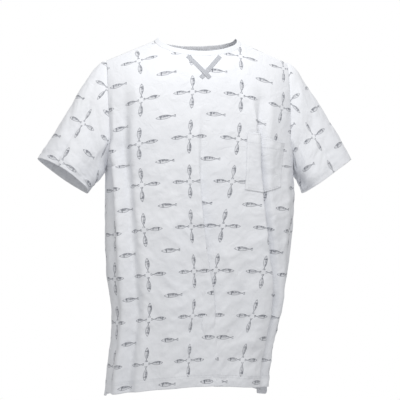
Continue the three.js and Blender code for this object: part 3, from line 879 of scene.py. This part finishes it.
def front_wrinkle(q, z):
    """Small creases everywhere, and the long slanting ones, each 1 / cosh(distance) across its line."""
    more = down(z, (-760, 1.5), (-500, 1.35), (-300, 1.0), (-100, 0.55), (0, 0.4))
    total = more * (7.0 * crumple(q, z, 3) + 3.4 * fine_crumple(q, z, 8))
    for x0, z0, x1, z1, high in LONG_CREASES:
        length = np.hypot(x1 - x0, z1 - z0)
        a = ((q - x0) * (x1 - x0) + (z - z0) * (z1 - z0)) / length
        b = ((q - x0) * (z1 - z0) - (z - z0) * (x1 - x0)) / length
        total += high * smooth(a / 24 + 0.6) * smooth((length - a) / 24 + 0.6) / np.cosh(b / 5.5)
    return total


def side_hold(q, q0, q1):
    """0 at both side edges and 1 from 22 mm in."""
    return smooth((q - q0) / 22) * smooth((q1 - q) / 22)


front_points, front_uv, front_z = panel(-1, (-1, 1), FRONT_COLS, front_turning, front_wrinkle, side_hold)
# The cloth was cut a little off its grain, so the print leans to the wearer's right towards the hem.
lean = down(front_z, (-711, 32), (-608, 40), (-507, 36), (-402, 28), (-300, 14), (-199, 3), (-100, -5))
front_uv[..., 0] += lean * (0.6 + 0.4 * smooth((front_uv[..., 0] + 110) / 100))
front = cloth("front_cloth", front_points, front_uv, [FRONT_PRINT, REVERSE], INSIDE)
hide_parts("front_panel")
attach(front, ROOT)
print("front grid", front_points.shape, "depth", np.round(np.ptp(front_points[..., 1])))

# %% [markdown]
# ## The back
#
# Two sides that lap by 40 mm over each other in the middle, the right one outside. Only the sides and the
# upper edge hold them, so the fullness falls in soft upright folds between the lap and the side seam, and
# the lap itself hangs flat, where the press studs hold it.

# %% Back
LAP, LAP_GAP, THICK = 20.0, 4.4, 1.0  # half of the lap, the gap in it, the solid model's cloth
BACK_COLS = 122


def over_lift(x):
    """How far the over flap stands off: the gap that the press studs need, reached over 44 mm."""
    return (LAP_GAP + THICK) * smooth((x + 72) / 44)


def no_lift(x):
    """The under flap lies on the body."""
    return 0 * x


def back_turning(q, z):
    """Soft folds, sin waves of about 70 mm whose places drift down the cloth, none at the lap."""
    grow = down(z, (-790, 62), (-600, 58), (-420, 50), (-275, 40), (-180, 14), (-100, 0), (0, 0))
    beside = smooth((np.abs(q) - 74) / 26) * smooth((FLAT_HALF_WIDTH - 4 - np.abs(q)) / 22)
    wave = np.sin(np.abs(q) / 11.3 + 0.9 * np.sin(z / 190) + np.where(q < 0, 0.4, 1.9))
    other = np.sin(np.abs(q) / 17.9 + z / 260 + np.where(q < 0, 2.0, 0.2))
    return grow * beside * (0.72 * wave + 0.34 * other)


def back_wrinkle(q, z):
    """Small creases everywhere."""
    return 6.0 * crumple(q, z, 21) + 2.6 * fine_crumple(q, z, 5)


def back_hold(q, q0, q1):
    """0 at the side seam and in the lap, 1 between them."""
    return smooth((np.maximum(-q0, q1) - np.abs(q)) / 22) * smooth((np.abs(q) - 22) / 40)


back = {}
for side, ends, flap in ((-1, (-1, LAP), RIGHT_FLAP), (1, (-LAP, 1), LEFT_FLAP)):
    word = WORD[side]
    lift = over_lift if side < 0 else no_lift
    t = np.linspace(0, 1, BACK_COLS)
    beside = t if side < 0 else 1 - t  # 0 at the side seam
    sag = (11.0 if side < 0 else 24.0) * smooth(beside / 0.07) * smooth((0.62 - beside) / 0.45)
    points, uv, z = panel(1, ends, BACK_COLS, back_turning, back_wrinkle, back_hold, lift=lift, sag=sag)
    made = cloth(f"back_cloth_{word}", points, uv, [BACK_PRINT, REVERSE], INSIDE)
    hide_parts(f"back_panel_{word}", f"back_flap_{word}_{'over' if side < 0 else 'under'}")
    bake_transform(made)
    back[side] = points
    print(made.name, points.shape)

# %% [markdown]
# ## The sleeves
#
# Each is a tube from the armhole to the cuff, its seam under the arm. Its stiff new cotton keeps the
# crease that it was pressed with, a ridge that falls away like exp(-distance), and it bulges over the
# shoulder. The crosses of the print follow the sleeve's own length.

# %% Sleeve tube
TIP_Z = float(shoulder_z(np.array(SHOULDER_TIP)))
CUFF_X, CUFF_Z = SHOULDER_TIP + 93.0, TIP_Z - 251.0
CUFF_HIGH, CUFF_DEEP, CUFF_SLOPE = 65.0, 55.0, np.radians(35)
CAP_BULGE = 12.0
ARM_RADIUS = 62.0  # of the sleeve, to turn an angle round it into millimetres
SLEEVE_ROWS, SLEEVE_COLS = 84, 150


def tube(sign, t, angle, raised, lowered):
    """The smooth sleeve: from the armhole edge to the cuff's ellipse, whose front is raised along the arm."""
    z0 = ARMHOLE_BOTTOM + (TIP_Z - ARMHOLE_BOTTOM) * (1 + np.cos(angle)) / 2
    x0 = sign * half_width(z0, sign) * edge_share(z0)
    edge = np.where((angle >= 0)[..., None], body_point(-1, x0, z0), body_point(1, x0, z0))
    edge[..., 0] -= sign * 0.5  # the sleeve is sewn inside the panels' edges
    tall = CUFF_HIGH * np.cos(angle)
    cuff = np.stack([sign * (CUFF_X + tall * np.cos(CUFF_SLOPE)), -CUFF_DEEP * np.sin(angle),
                     CUFF_Z + tall * np.sin(CUFF_SLOPE)], -1)
    down_arm = np.array([sign * 0.567, 0, -0.824])
    shift = -raised * np.clip(np.sin(angle), 0, 1) + lowered * np.clip(-np.sin(angle), 0, 1)
    cuff = cuff + down_arm * shift[..., None]
    bulge = CAP_BULGE * np.sin(np.pi * np.sqrt(t)) * (1 + np.cos(angle)) / 2
    over = np.stack([sign * 0.8 * bulge, 0 * bulge, 0.5 * bulge], -1)
    return edge + (cuff - edge) * t[..., None] + over


print("cuff, mm across and deep:", 2 * CUFF_HIGH, 2 * CUFF_DEEP)

# %% [markdown]
# ### The sleeves' creases and cloth
#
# The smooth tube is pushed out along its normals by the pressed crease, by slack waves drawn from the
# underarm and by small creases, all of which fade at the armhole and at the seam. It could be one wave,
# but cloth that is sewn at one end only never creases evenly.

# %% Sleeve cloth


def sleeve_grid(sign, raised, lowered, crease, seed):
    """Points and flat coordinates of a sleeve; crease is its angle from the shoulder over the front."""
    t = np.concatenate([np.linspace(0, 0.9, SLEEVE_ROWS - 16)[:-1], np.linspace(0.9, 1, 17)])
    t, angle = np.meshgrid(t, np.linspace(-np.pi, np.pi, SLEEVE_COLS), indexing="ij")
    base = tube(sign, t, angle, raised, lowered)
    n = normals_of(base) * -sign
    round_mm = ARM_RADIUS * angle
    round_at = ARM_RADIUS * (angle - crease)
    ridge = 9.0 * np.exp(-np.abs(round_at) / 14) * smooth((t - 0.12) / 0.3)
    opposite = ARM_RADIUS * (angle + np.pi - 0.9 * crease)
    behind = 6.0 * np.exp(-np.abs(opposite) / 16) * smooth((t - 0.25) / 0.4)
    drawn = np.sin(5 * angle + 3.0 * t + seed) * smooth((np.abs(angle) - 1.5) / 0.8) * smooth(t / 0.25)
    wide = np.sin(3 * angle - 4.2 * t + 2 * seed) * smooth(t / 0.3)
    small = 6.5 * crumple(round_mm, -240 * t, seed) + 3.0 * fine_crumple(round_mm, -240 * t, seed + 4)
    seam = smooth((np.pi - np.abs(angle)) / 0.25)
    off = (ridge + behind + 3.4 * drawn + 2.0 * wide + small * smooth(t / 0.1)) * seam
    points = base + n * off[..., None]
    around = np.linalg.norm(np.diff(base, axis=1), axis=-1)
    around = np.concatenate([np.zeros((len(t), 1)), np.cumsum(around, axis=1)], axis=1)
    at_crease = np.array([np.interp(crease, angle[0], row) for row in around])[:, None]
    length = np.linalg.norm(np.diff(base, axis=0), axis=-1)
    up = np.concatenate([np.cumsum(length[::-1], axis=0)[::-1], np.zeros((1, SLEEVE_COLS))])
    return points, np.stack([around - at_crease, up], -1), angle


sleeves = {}
for sign, raised, lowered, crease, across, start in ((-1, 11, 4, 1.02, 11, -20), (1, 4, 3, 1.30, -9, 61)):
    word = WORD[sign]
    points, uv, angle = sleeve_grid(sign, raised, lowered, crease, 3 + sign)
    uv = uv * [-sign, 1] - [across, start]
    middle = 0.5 * (points[:, :1] + points[:, points.shape[1] // 2, None])
    made = cloth(f"sleeve_cloth_{word}", points, uv, [SLEEVE_PRINT, REVERSE], middle * [1, 0, 1])
    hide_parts(f"sleeve_{word}")
    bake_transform(made)
    sleeves[sign] = points
    print(made.name, points.shape)

# %% [markdown]
# ## The neckband
#
# A strip of plain cotton folded along its length, pressed, and sewn round the neckline with the panels'
# edges between its two layers. Its section is a flat rounded shape, |a/w|^n + |b/h|^n = 1 with a high n,
# carried along the neckline and leaning inwards. It parts at the shoulders so that its back can open.

# %% Neckline
BAND_HIGH, BAND_LEAN, BAND_THICK = 12.5, 0.45, 1.9


def neckline(way, x, lift):
    """Middle of the band's foot, its rising direction and its inward direction, along the neckline."""
    z = top_z(x, way)
    p = body_point(way, x, z) + outward(way, x, z - 2) * np.asarray(lift)[..., None]
    inward = np.stack([-p[:, 0], -1.6 * p[:, 1], 0 * x], -1)
    inward /= np.linalg.norm(inward, axis=1, keepdims=True)
    lean = BAND_LEAN + 0.75 * (np.abs(x) / NECK_HALF_WIDTH) ** 6
    rise = np.array([0, 0, 1.0]) + lean[:, None] * inward
    rise /= np.linalg.norm(rise, axis=1, keepdims=True)
    across = np.cross(rise, np.cross(inward, [0, 0, 1.0]))
    across *= np.sign(np.sum(across * inward, axis=1, keepdims=True))
    return p, rise, across / np.linalg.norm(across, axis=1, keepdims=True)


print("neckband", BAND_HIGH, "mm high")

# %% [markdown]
# ### The lengths of the neckband
#
# Each length is its section carried along the neckline, with a little ripple from its seam, and is closed at
# both ends by a fan of triangles. A bevelled curve would be quicker, but it couldn't lean inwards.

# %% Neckband lengths


def band(name, way, x, lift):
    """One length of neckband with closed ends."""
    foot, rise, across = neckline(way, x, lift)
    spin = np.linspace(0, 2 * np.pi, 25)[:-1]
    a = 0.5 * BAND_THICK * np.sign(np.cos(spin)) * np.abs(np.cos(spin)) ** 0.5
    b = 0.5 * BAND_HIGH * (1 + np.sign(np.sin(spin)) * np.abs(np.sin(spin)) ** 0.32)
    run = np.concatenate([[0], np.cumsum(np.linalg.norm(np.diff(foot, axis=0), axis=1))])
    ripple = 0.35 * np.sin(run / 9.0) * np.sin(run / 23.0 + 1)
    swell = 1 + 0.12 * np.sin(run / 4.1) * np.sin(run / 11.0)
    points = (foot[None] + across[None] * (a[:, None, None] * swell[None, :, None] + 0.3)
              + rise[None] * (b[:, None] - 0.6 + ripple * (b[:, None] / BAND_HIGH))[..., None])
    ends = np.stack([points[:, 0].mean(0), points[:, -1].mean(0)])
    grid = points.transpose(1, 0, 2)
    rows, cols = grid.shape[:2]
    faces = grid_faces(rows, cols, closed=True)
    c, n = np.arange(cols), rows * cols
    after = (c + 1) % cols
    caps = np.concatenate([np.stack([np.full(cols, n), after, c], -1),
                           np.stack([np.full(cols, n + 1), n - cols + c, n - cols + after], -1)])
    outer = facing(grid, grid.mean(1, keepdims=True)) > 0
    flat = np.concatenate([grid.reshape(-1, 3), ends])
    around = np.broadcast_to(np.arange(cols) * 1.1, (rows, cols))
    uv = np.stack([np.broadcast_to(run[:, None], (rows, cols)), around], -1).reshape(-1, 2)
    uv = np.concatenate([uv, np.zeros((2, 2))])
    triangles = np.concatenate([faces[:, [0, 1, 2]], faces[:, [0, 2, 3]], caps])
    made = make_mesh(name, flat, triangles if outer else triangles[:, ::-1], PLAIN, uv)
    return made


x_front = NECK_HALF_WIDTH * np.sin(np.linspace(-np.pi / 2, np.pi / 2, 220))
made = band("neckband_front_cloth", -1, x_front, 0 * x_front)
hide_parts("neckband_front")
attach(made, ROOT)
x_back = np.concatenate([-NECK_HALF_WIDTH * np.cos(np.linspace(0, np.pi / 2, 90))[:-1],
                         np.linspace(0, LAP, 12)])
for side, lift in ((-1, over_lift), (1, no_lift)):
    word = WORD[side]
    x = -side * x_back
    made = band(f"neckband_back_cloth_{word}", 1, x, lift(x))
    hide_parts(f"neckband_back_{word}")
    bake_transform(made)
    print(made.name, len(made.data.vertices), "points")

# %% [markdown]
# ## Pieces sewn on the front
#
# The tapes and the pocket lie on the folded cloth, so they are placed by flat coordinates: a point of
# theirs is looked up on the front's grid and moved off along its normal. The folds go through the pocket
# in the way they do when a patch is stitched down and the cloth then falls.

# %% Looking up the front's surface
front_normals = normals_of(front_points) * facing(front_points, INSIDE)
FRONT_TABLE = np.concatenate([front_points, front_normals, front_z[..., None]], -1)
LAST_COLUMN = front_z.shape[1] - 1


def in_row(row, q, height):
    """Point, normal and height at q in a row: a linear step between columns, by the row's own width."""
    c = (q / flat_edge(height, 1, -1) + 1) / 2 * LAST_COLUMN
    c0 = np.clip(np.floor(c).astype(int), 0, LAST_COLUMN - 1)
    f = (c - c0)[..., None]
    return FRONT_TABLE[row, c0] * (1 - f) + FRONT_TABLE[row, c0 + 1] * f, c0


def on_front(q, z, lift):
    """Points at flat coordinate q and height z, lifted off the cloth: a linear step between two rows."""
    column = in_row(0, q, z)[1]
    row = np.clip(np.sum(front_z[:, column] < z, axis=0) - 1, 0, len(front_z) - 2)
    lower = in_row(row, q, front_z[row, column])[0]
    upper = in_row(row + 1, q, front_z[row + 1, column])[0]
    g = ((z - lower[..., 6]) / (upper[..., 6] - lower[..., 6]))[..., None]
    found = lower * (1 - g) + upper * g
    normal = found[..., 3:6] / np.linalg.norm(found[..., 3:6], axis=-1, keepdims=True)
    return found[..., :3] + normal * np.asarray(lift)[..., None], normal


print("looking up", FRONT_TABLE.shape[0], "rows by", LAST_COLUMN + 1, "columns")

# %% [markdown]
# ### Crossed tapes
#
# Two lengths of herringbone tape laid from the neckband down to where they cross, one over the other,
# each stitched along both edges.

# %% Tapes
TAPE_WIDE, CROSS_X, CROSS_Z, TAPE_TOP, TAPE_SPREAD, TAPE_TAIL = 9.0, 4.0, -75.0, -37.0, 34.0, 14.0
tape_rows = []
for name, sign in (("under", 1), ("over", -1)):
    head = np.array([CROSS_X + sign * TAPE_SPREAD, TAPE_TOP])
    line = np.array([CROSS_X, CROSS_Z]) - head
    foot = head + line * (1 + TAPE_TAIL / np.linalg.norm(line))
    t, w = np.meshgrid(np.linspace(0, 1, 60), np.linspace(-0.5, 0.5, 15), indexing="ij")
    way = (foot - head) / np.linalg.norm(foot - head)
    place = head + (foot - head) * t[..., None] + np.array([-way[1], way[0]]) * (w * TAPE_WIDE)[..., None]
    far = np.hypot(place[..., 0] - CROSS_X, place[..., 1] - CROSS_Z)
    thick = 0.7
    lift = 0.25 + thick + (0 if name == "under" else 0.9 * (1 - smooth((far - 5) / 9)))
    lift = lift - 0.3 * (np.abs(w) > 0.48)
    points, normal = on_front(place[..., 0] * 1.03, place[..., 1], lift)
    uv = np.stack([(w + 0.5) * TAPE_WIDE, t * np.linalg.norm(foot - head)], -1)
    made = cloth(f"neck_tape_{name}_cloth", points, uv, [TAPE], INSIDE, thick)
    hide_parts(f"neck_tape_{name}")
    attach(made, ROOT)
    tape_rows += [(points[:, k], normal[:, k]) for k in (1, 13)]
    print(made.name, round(float(np.linalg.norm(foot - head))), "mm long")

# %% [markdown]
# ### Chest pocket
#
# One patch of plain cotton, its lower corners cut slanting. The mouth is turned in 20 mm and stitched;
# the sides and bottom have two rows of stitches.

# %% Pocket
POCKET_Q, POCKET_WIDE, POCKET_TOP, POCKET_DEEP = 96.0, 118.0, -202.0, 122.0
POCKET_POINT, POCKET_GAPE = 12.0, 5.0  # how much deeper its middle is, and how far it stands off
POCKET_SAG = 20.0  # how much lower its outer side hangs than it was sewn, drawn down by the fold beside it


def pocket_point(u, v, extra=0.0):
    """A point of the pocket: u across it from its inner edge, v up it from its bottom edge."""
    foot = POCKET_TOP - POCKET_DEEP - POCKET_POINT * (1 - np.abs(2 * u - 1))
    z = foot + (POCKET_TOP - foot) * v - POCKET_SAG * smooth(u) * v + 5 * u * (1 - v)
    loose = smooth(np.minimum(u, 1 - u) * 6) * smooth(v * 1.6 - 0.4)
    puff = 1.4 * crumple(u * POCKET_WIDE, z, 31, 26, 50.0, 12.0)
    edge = smooth(np.minimum(np.minimum(u, 1 - u) * POCKET_WIDE, v * POCKET_DEEP) / 2.5)
    lift = 0.3 + CLOTH + 0.5 * edge + POCKET_GAPE * loose + puff * loose ** 0.5 * edge + extra
    return on_front(POCKET_Q + POCKET_WIDE * u, z, lift)


v, u = np.meshgrid(np.linspace(0, 1, 96), np.linspace(0, 1, 92), indexing="ij")
points, normal = pocket_point(u, v)
made = cloth("chest_pocket_cloth", points, np.stack([u * POCKET_WIDE, v * POCKET_DEEP], -1), [PLAIN], INSIDE)
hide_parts("chest_pocket")
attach(made, ROOT)
print(made.name, "spans, mm:", np.round(np.ptp(points.reshape(-1, 3), axis=0)).tolist())

# %% [markdown]
# ## The stitching
#
# Hems and cuffs are turned up 20 mm and held by a twin needle; the pocket's edges, the tapes and the
# free edges of the back are topstitched. Each row rides with the cloth that it is sewn through.

# %% Stitches


def grid_line(points, centre, row=None, col=None):
    """A line along a grid at a fractional row or column, with the normals that face away from the centre."""
    normal = normals_of(points) * facing(points, centre)
    if col is not None:
        points, normal, row = points.transpose(1, 0, 2), normal.transpose(1, 0, 2), col
    i = int(min(np.floor(row), len(points) - 2))
    f = row - i
    return points[i] * (1 - f) + points[i + 1] * f, normal[i] * (1 - f) + normal[i + 1] * f


PER_MM = (HEM_ROWS - 1) / HEM_ZONE
TWIN_NEEDLE = (20.0, 24.6)  # heights of its two rows above a turned edge
front_rows = [grid_line(front_points, INSIDE, row=h * PER_MM) for h in TWIN_NEEDLE]
for k, inset in ((0, 1.2), (0, 6.0), (1, 1.2), (1, 6.0)):
    v = np.linspace(0.015, 0.985, 160)
    u = np.full_like(v, inset / POCKET_WIDE if k == 0 else 1 - inset / POCKET_WIDE)
    front_rows.append(pocket_point(u, v))
for inset in (1.4, 6.2):
    u = np.linspace(0.05, 0.95, 200)
    front_rows.append(pocket_point(u, np.full_like(u, inset / POCKET_DEEP)))
for below in (2.0, 20.0):
    u = np.linspace(0.012, 0.988, 200)
    front_rows.append(pocket_point(u, np.full_like(u, 1 - below / POCKET_DEEP)))
made = stitches("front_stitches", front_rows + tape_rows)
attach(made, ROOT)
print(made.name, len(made.data.polygons), "faces in", len(front_rows + tape_rows), "rows")

for side, points in back.items():
    word = WORD[side]
    rows = [grid_line(points, INSIDE, row=h * PER_MM) for h in TWIN_NEEDLE]
    last = points.shape[1] - 1
    rows += [grid_line(points, INSIDE, col=last - c if side < 0 else c) for c in (0.8, 6.4)]
    made = stitches(f"back_stitches_{word}", rows)
    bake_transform(made)

for sign, points in sleeves.items():
    word = WORD[sign]
    step = np.linalg.norm(points[-1, 75] - points[-2, 75])
    centre = points[-12].mean(0)
    rows = [grid_line(points, centre, row=len(points) - 1 - h / step) for h in TWIN_NEEDLE]
    made = stitches(f"cuff_stitches_{word}", rows)
    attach(made, f"{word}_sleeve")
    print(made.name, len(made.data.polygons), "faces")

# %% [markdown]
# ## The press studs
#
# Four on the lap. Each has a plastic cap outside whose post is clinched through the over flap into a metal
# socket, and below it a metal stud held by the post of a plastic back. All four parts are turned shapes:
# a profile of radius and height, carried round the stud's axis.

# %% Press studs
STUD_HEIGHTS = (-80.0, -250.0, -420.0, -590.0)
# Of each part: its finish, its slot, and its (radius, height) profile in mm from the cloth.
PROFILES = {
    "stud_cap": (CAPS, "stud_plastic", [(0, 3.8), (1.1, 3.8), (1.1, 5.7), (5.6, 5.7), (6.0, 5.8), (6.0, 6.1),
                                        (5.7, 6.5), (5.0, 6.8), (4.0, 7.0), (0, 7.0)]),
    "socket": (METAL, "stud_metal", [(4.2, 1.9), (5.0, 1.9), (5.1, 3.2), (5.3, 3.4), (5.3, 3.9), (5.1, 4.1),
                                     (1.4, 4.1), (1.4, 3.4), (3.7, 3.4), (3.8, 3.0), (4.2, 1.9)]),
    "stud": (METAL, "stud_metal", [(1.4, 0.3), (5.0, 0.3), (5.0, 0.8), (4.8, 1.0), (2.5, 1.0), (2.3, 1.3),
                                   (2.8, 2.3), (2.8, 2.6), (2.4, 3.0), (0, 3.0), (0, 2.1), (1.4, 2.1),
                                   (1.4, 0.3)]),
    "stud_post": (CAPS, "stud_plastic", [(0, -2.6), (4.0, -2.6), (5.0, -2.4), (5.6, -2.0), (5.7, -1.6),
                                         (5.6, -1.3), (1.1, -1.3), (1.1, 1.7), (0, 1.7)]),
}


def turned(name, profile, place, axis, look, segments=36):
    """Carries a profile of (radius, height) round an axis at a place."""
    radius, height = np.array(profile, float).T
    spin = np.arange(segments) * 2 * np.pi / segments
    side = np.cross(axis, [0, 0, 1.0])
    side /= np.linalg.norm(side)
    up = np.cross(side, axis)
    ring = np.cos(spin)[:, None] * side + np.sin(spin)[:, None] * up
    points = place + radius[:, None, None] * ring + (height[:, None] * axis)[:, None]
    faces = grid_faces(len(profile), segments, closed=True)
    made = make_mesh(name, points.reshape(-1, 3), faces, look)
    made.data.set_sharp_from_angle(angle=np.radians(40))
    return made


for i, z in enumerate(STUD_HEIGHTS, 1):
    z = np.array([z])
    place = body_point(1, np.array([0.0]), z)[0]
    up = body_point(1, np.array([0.0]), z + 1)[0] - body_point(1, np.array([0.0]), z - 1)[0]
    axis = np.cross([1.0, 0, 0], up)
    axis *= np.sign(axis[1]) / np.linalg.norm(axis)
    for part, (look, slot, profile) in PROFILES.items():
        made = turned(f"{part}_shape_{i}", profile, place, axis, look)
        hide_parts(f"{part}_{i}")
        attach(made, RIGHT_FLAP if part in ("stud_cap", "socket") else LEFT_FLAP)
    print("stud", i, "at z", round(float(place[2])))

# %% [markdown]
# ## Camera
#
# The gown is seen from straight ahead and a little from its own right, as a shop shows a garment. A long
# lens from 3.2 m keeps the sleeves and the hem in proportion, where a near camera would swell the middle.

# %% Camera
CAMERA_AZIMUTH, CAMERA_ELEVATION, CAMERA_DISTANCE = np.radians(-9.0), np.radians(1.0), 3.2
target = np.array([0.0066, 0.0, -0.3476])
look = np.array([np.sin(CAMERA_AZIMUTH) * np.cos(CAMERA_ELEVATION),
                 -np.cos(CAMERA_AZIMUTH) * np.cos(CAMERA_ELEVATION), np.sin(CAMERA_ELEVATION)])
camera_data = bpy.data.cameras.new("camera")
camera_data.lens = 130.9
camera_data.sensor_width = 36
camera = bpy.data.objects.new("camera", camera_data)
camera.location = target + look * CAMERA_DISTANCE
camera.rotation_euler = (np.pi / 2 - CAMERA_ELEVATION, 0, CAMERA_AZIMUTH)
bpy.context.scene.collection.objects.link(camera)
bpy.context.scene.camera = camera
print("camera at", [round(value, 3) for value in camera.location])

# %% [markdown]
# ## Light
#
# White cloth shows its folds only by soft shading, so most of the light comes from all round and one wide
# softbox in front and above adds a little direction. A second one behind edges the shoulders. The world
# is a plain white to the camera and half as bright to the cloth, because at full brightness the folds
# would wash out.

# %% Light
world = bpy.data.worlds.new("studio")
bpy.context.scene.world = world
world.use_nodes = True
world.node_tree.nodes.clear()
seen = node(world.node_tree, "Background", {"Color": (1, 1, 1, 1), "Strength": 1.0})
lit = node(world.node_tree, "Background", {"Color": (1, 1, 1, 1), "Strength": 0.5})
by_eye = node(world.node_tree, "LightPath")
mixed = node(world.node_tree, "MixShader", {0: by_eye, 1: lit, 2: seen})
node(world.node_tree, "OutputWorld", {"Surface": mixed})
bpy.context.scene.view_settings.view_transform = "Standard"


def softbox(name, place, aim, size, watts):
    """A square area light at place that faces aim."""
    data = bpy.data.lights.new(name, "AREA")
    data.size, data.energy = size, watts
    lamp = bpy.data.objects.new(name, data)
    lamp.location = place
    lamp.rotation_euler = (Vector(aim) - Vector(place)).to_track_quat("-Z", "Y").to_euler()
    bpy.context.scene.collection.objects.link(lamp)
    return lamp


softbox("key", (-0.05, -1.0, 0.75), (0, 0, -0.2), 0.8, 12)
softbox("rim", (0.3, 1.5, 1.2), (0, 0, -0.3), 1.2, 14)
print("lamps:", len(bpy.data.lights))

# %% [markdown]
# ## Floor
#
# A pale disc of matt vinyl, half a metre under the hanging gown. It is one fan of triangles round a middle
# point, which is all that a flat floor needs, and it stays out of the straight-ahead view.

# %% Floor
FLOOR_SIDES, FLOOR_RADIUS, FLOOR_Z = 96, 1600, -1300.0
spin = np.arange(FLOOR_SIDES) * 2 * np.pi / FLOOR_SIDES
disc = np.stack([FLOOR_RADIUS * np.cos(spin), FLOOR_RADIUS * np.sin(spin), np.full(FLOOR_SIDES, FLOOR_Z)], -1)
disc = np.concatenate([disc, [[0, 0, FLOOR_Z]]])
corner = np.arange(FLOOR_SIDES)
fan = np.stack([corner, (corner + 1) % FLOOR_SIDES, np.full(FLOOR_SIDES, FLOOR_SIDES)], -1)
vinyl, tree = new_material("pale_vinyl")
speckle = node(tree, "TexNoise", {"Vector": node(tree, "TexCoord", out=3), "Scale": 60.0})
base = node(tree, "Mix", {0: speckle, 6: colour("#dcdddf"), 7: colour("#e6e7e9")}, out=2, data_type="RGBA")
finish_surface(tree, base, 0.7)
floor = make_mesh("floor", disc, fan, vinyl)
print("floor", 2 * FLOOR_RADIUS, "mm across")
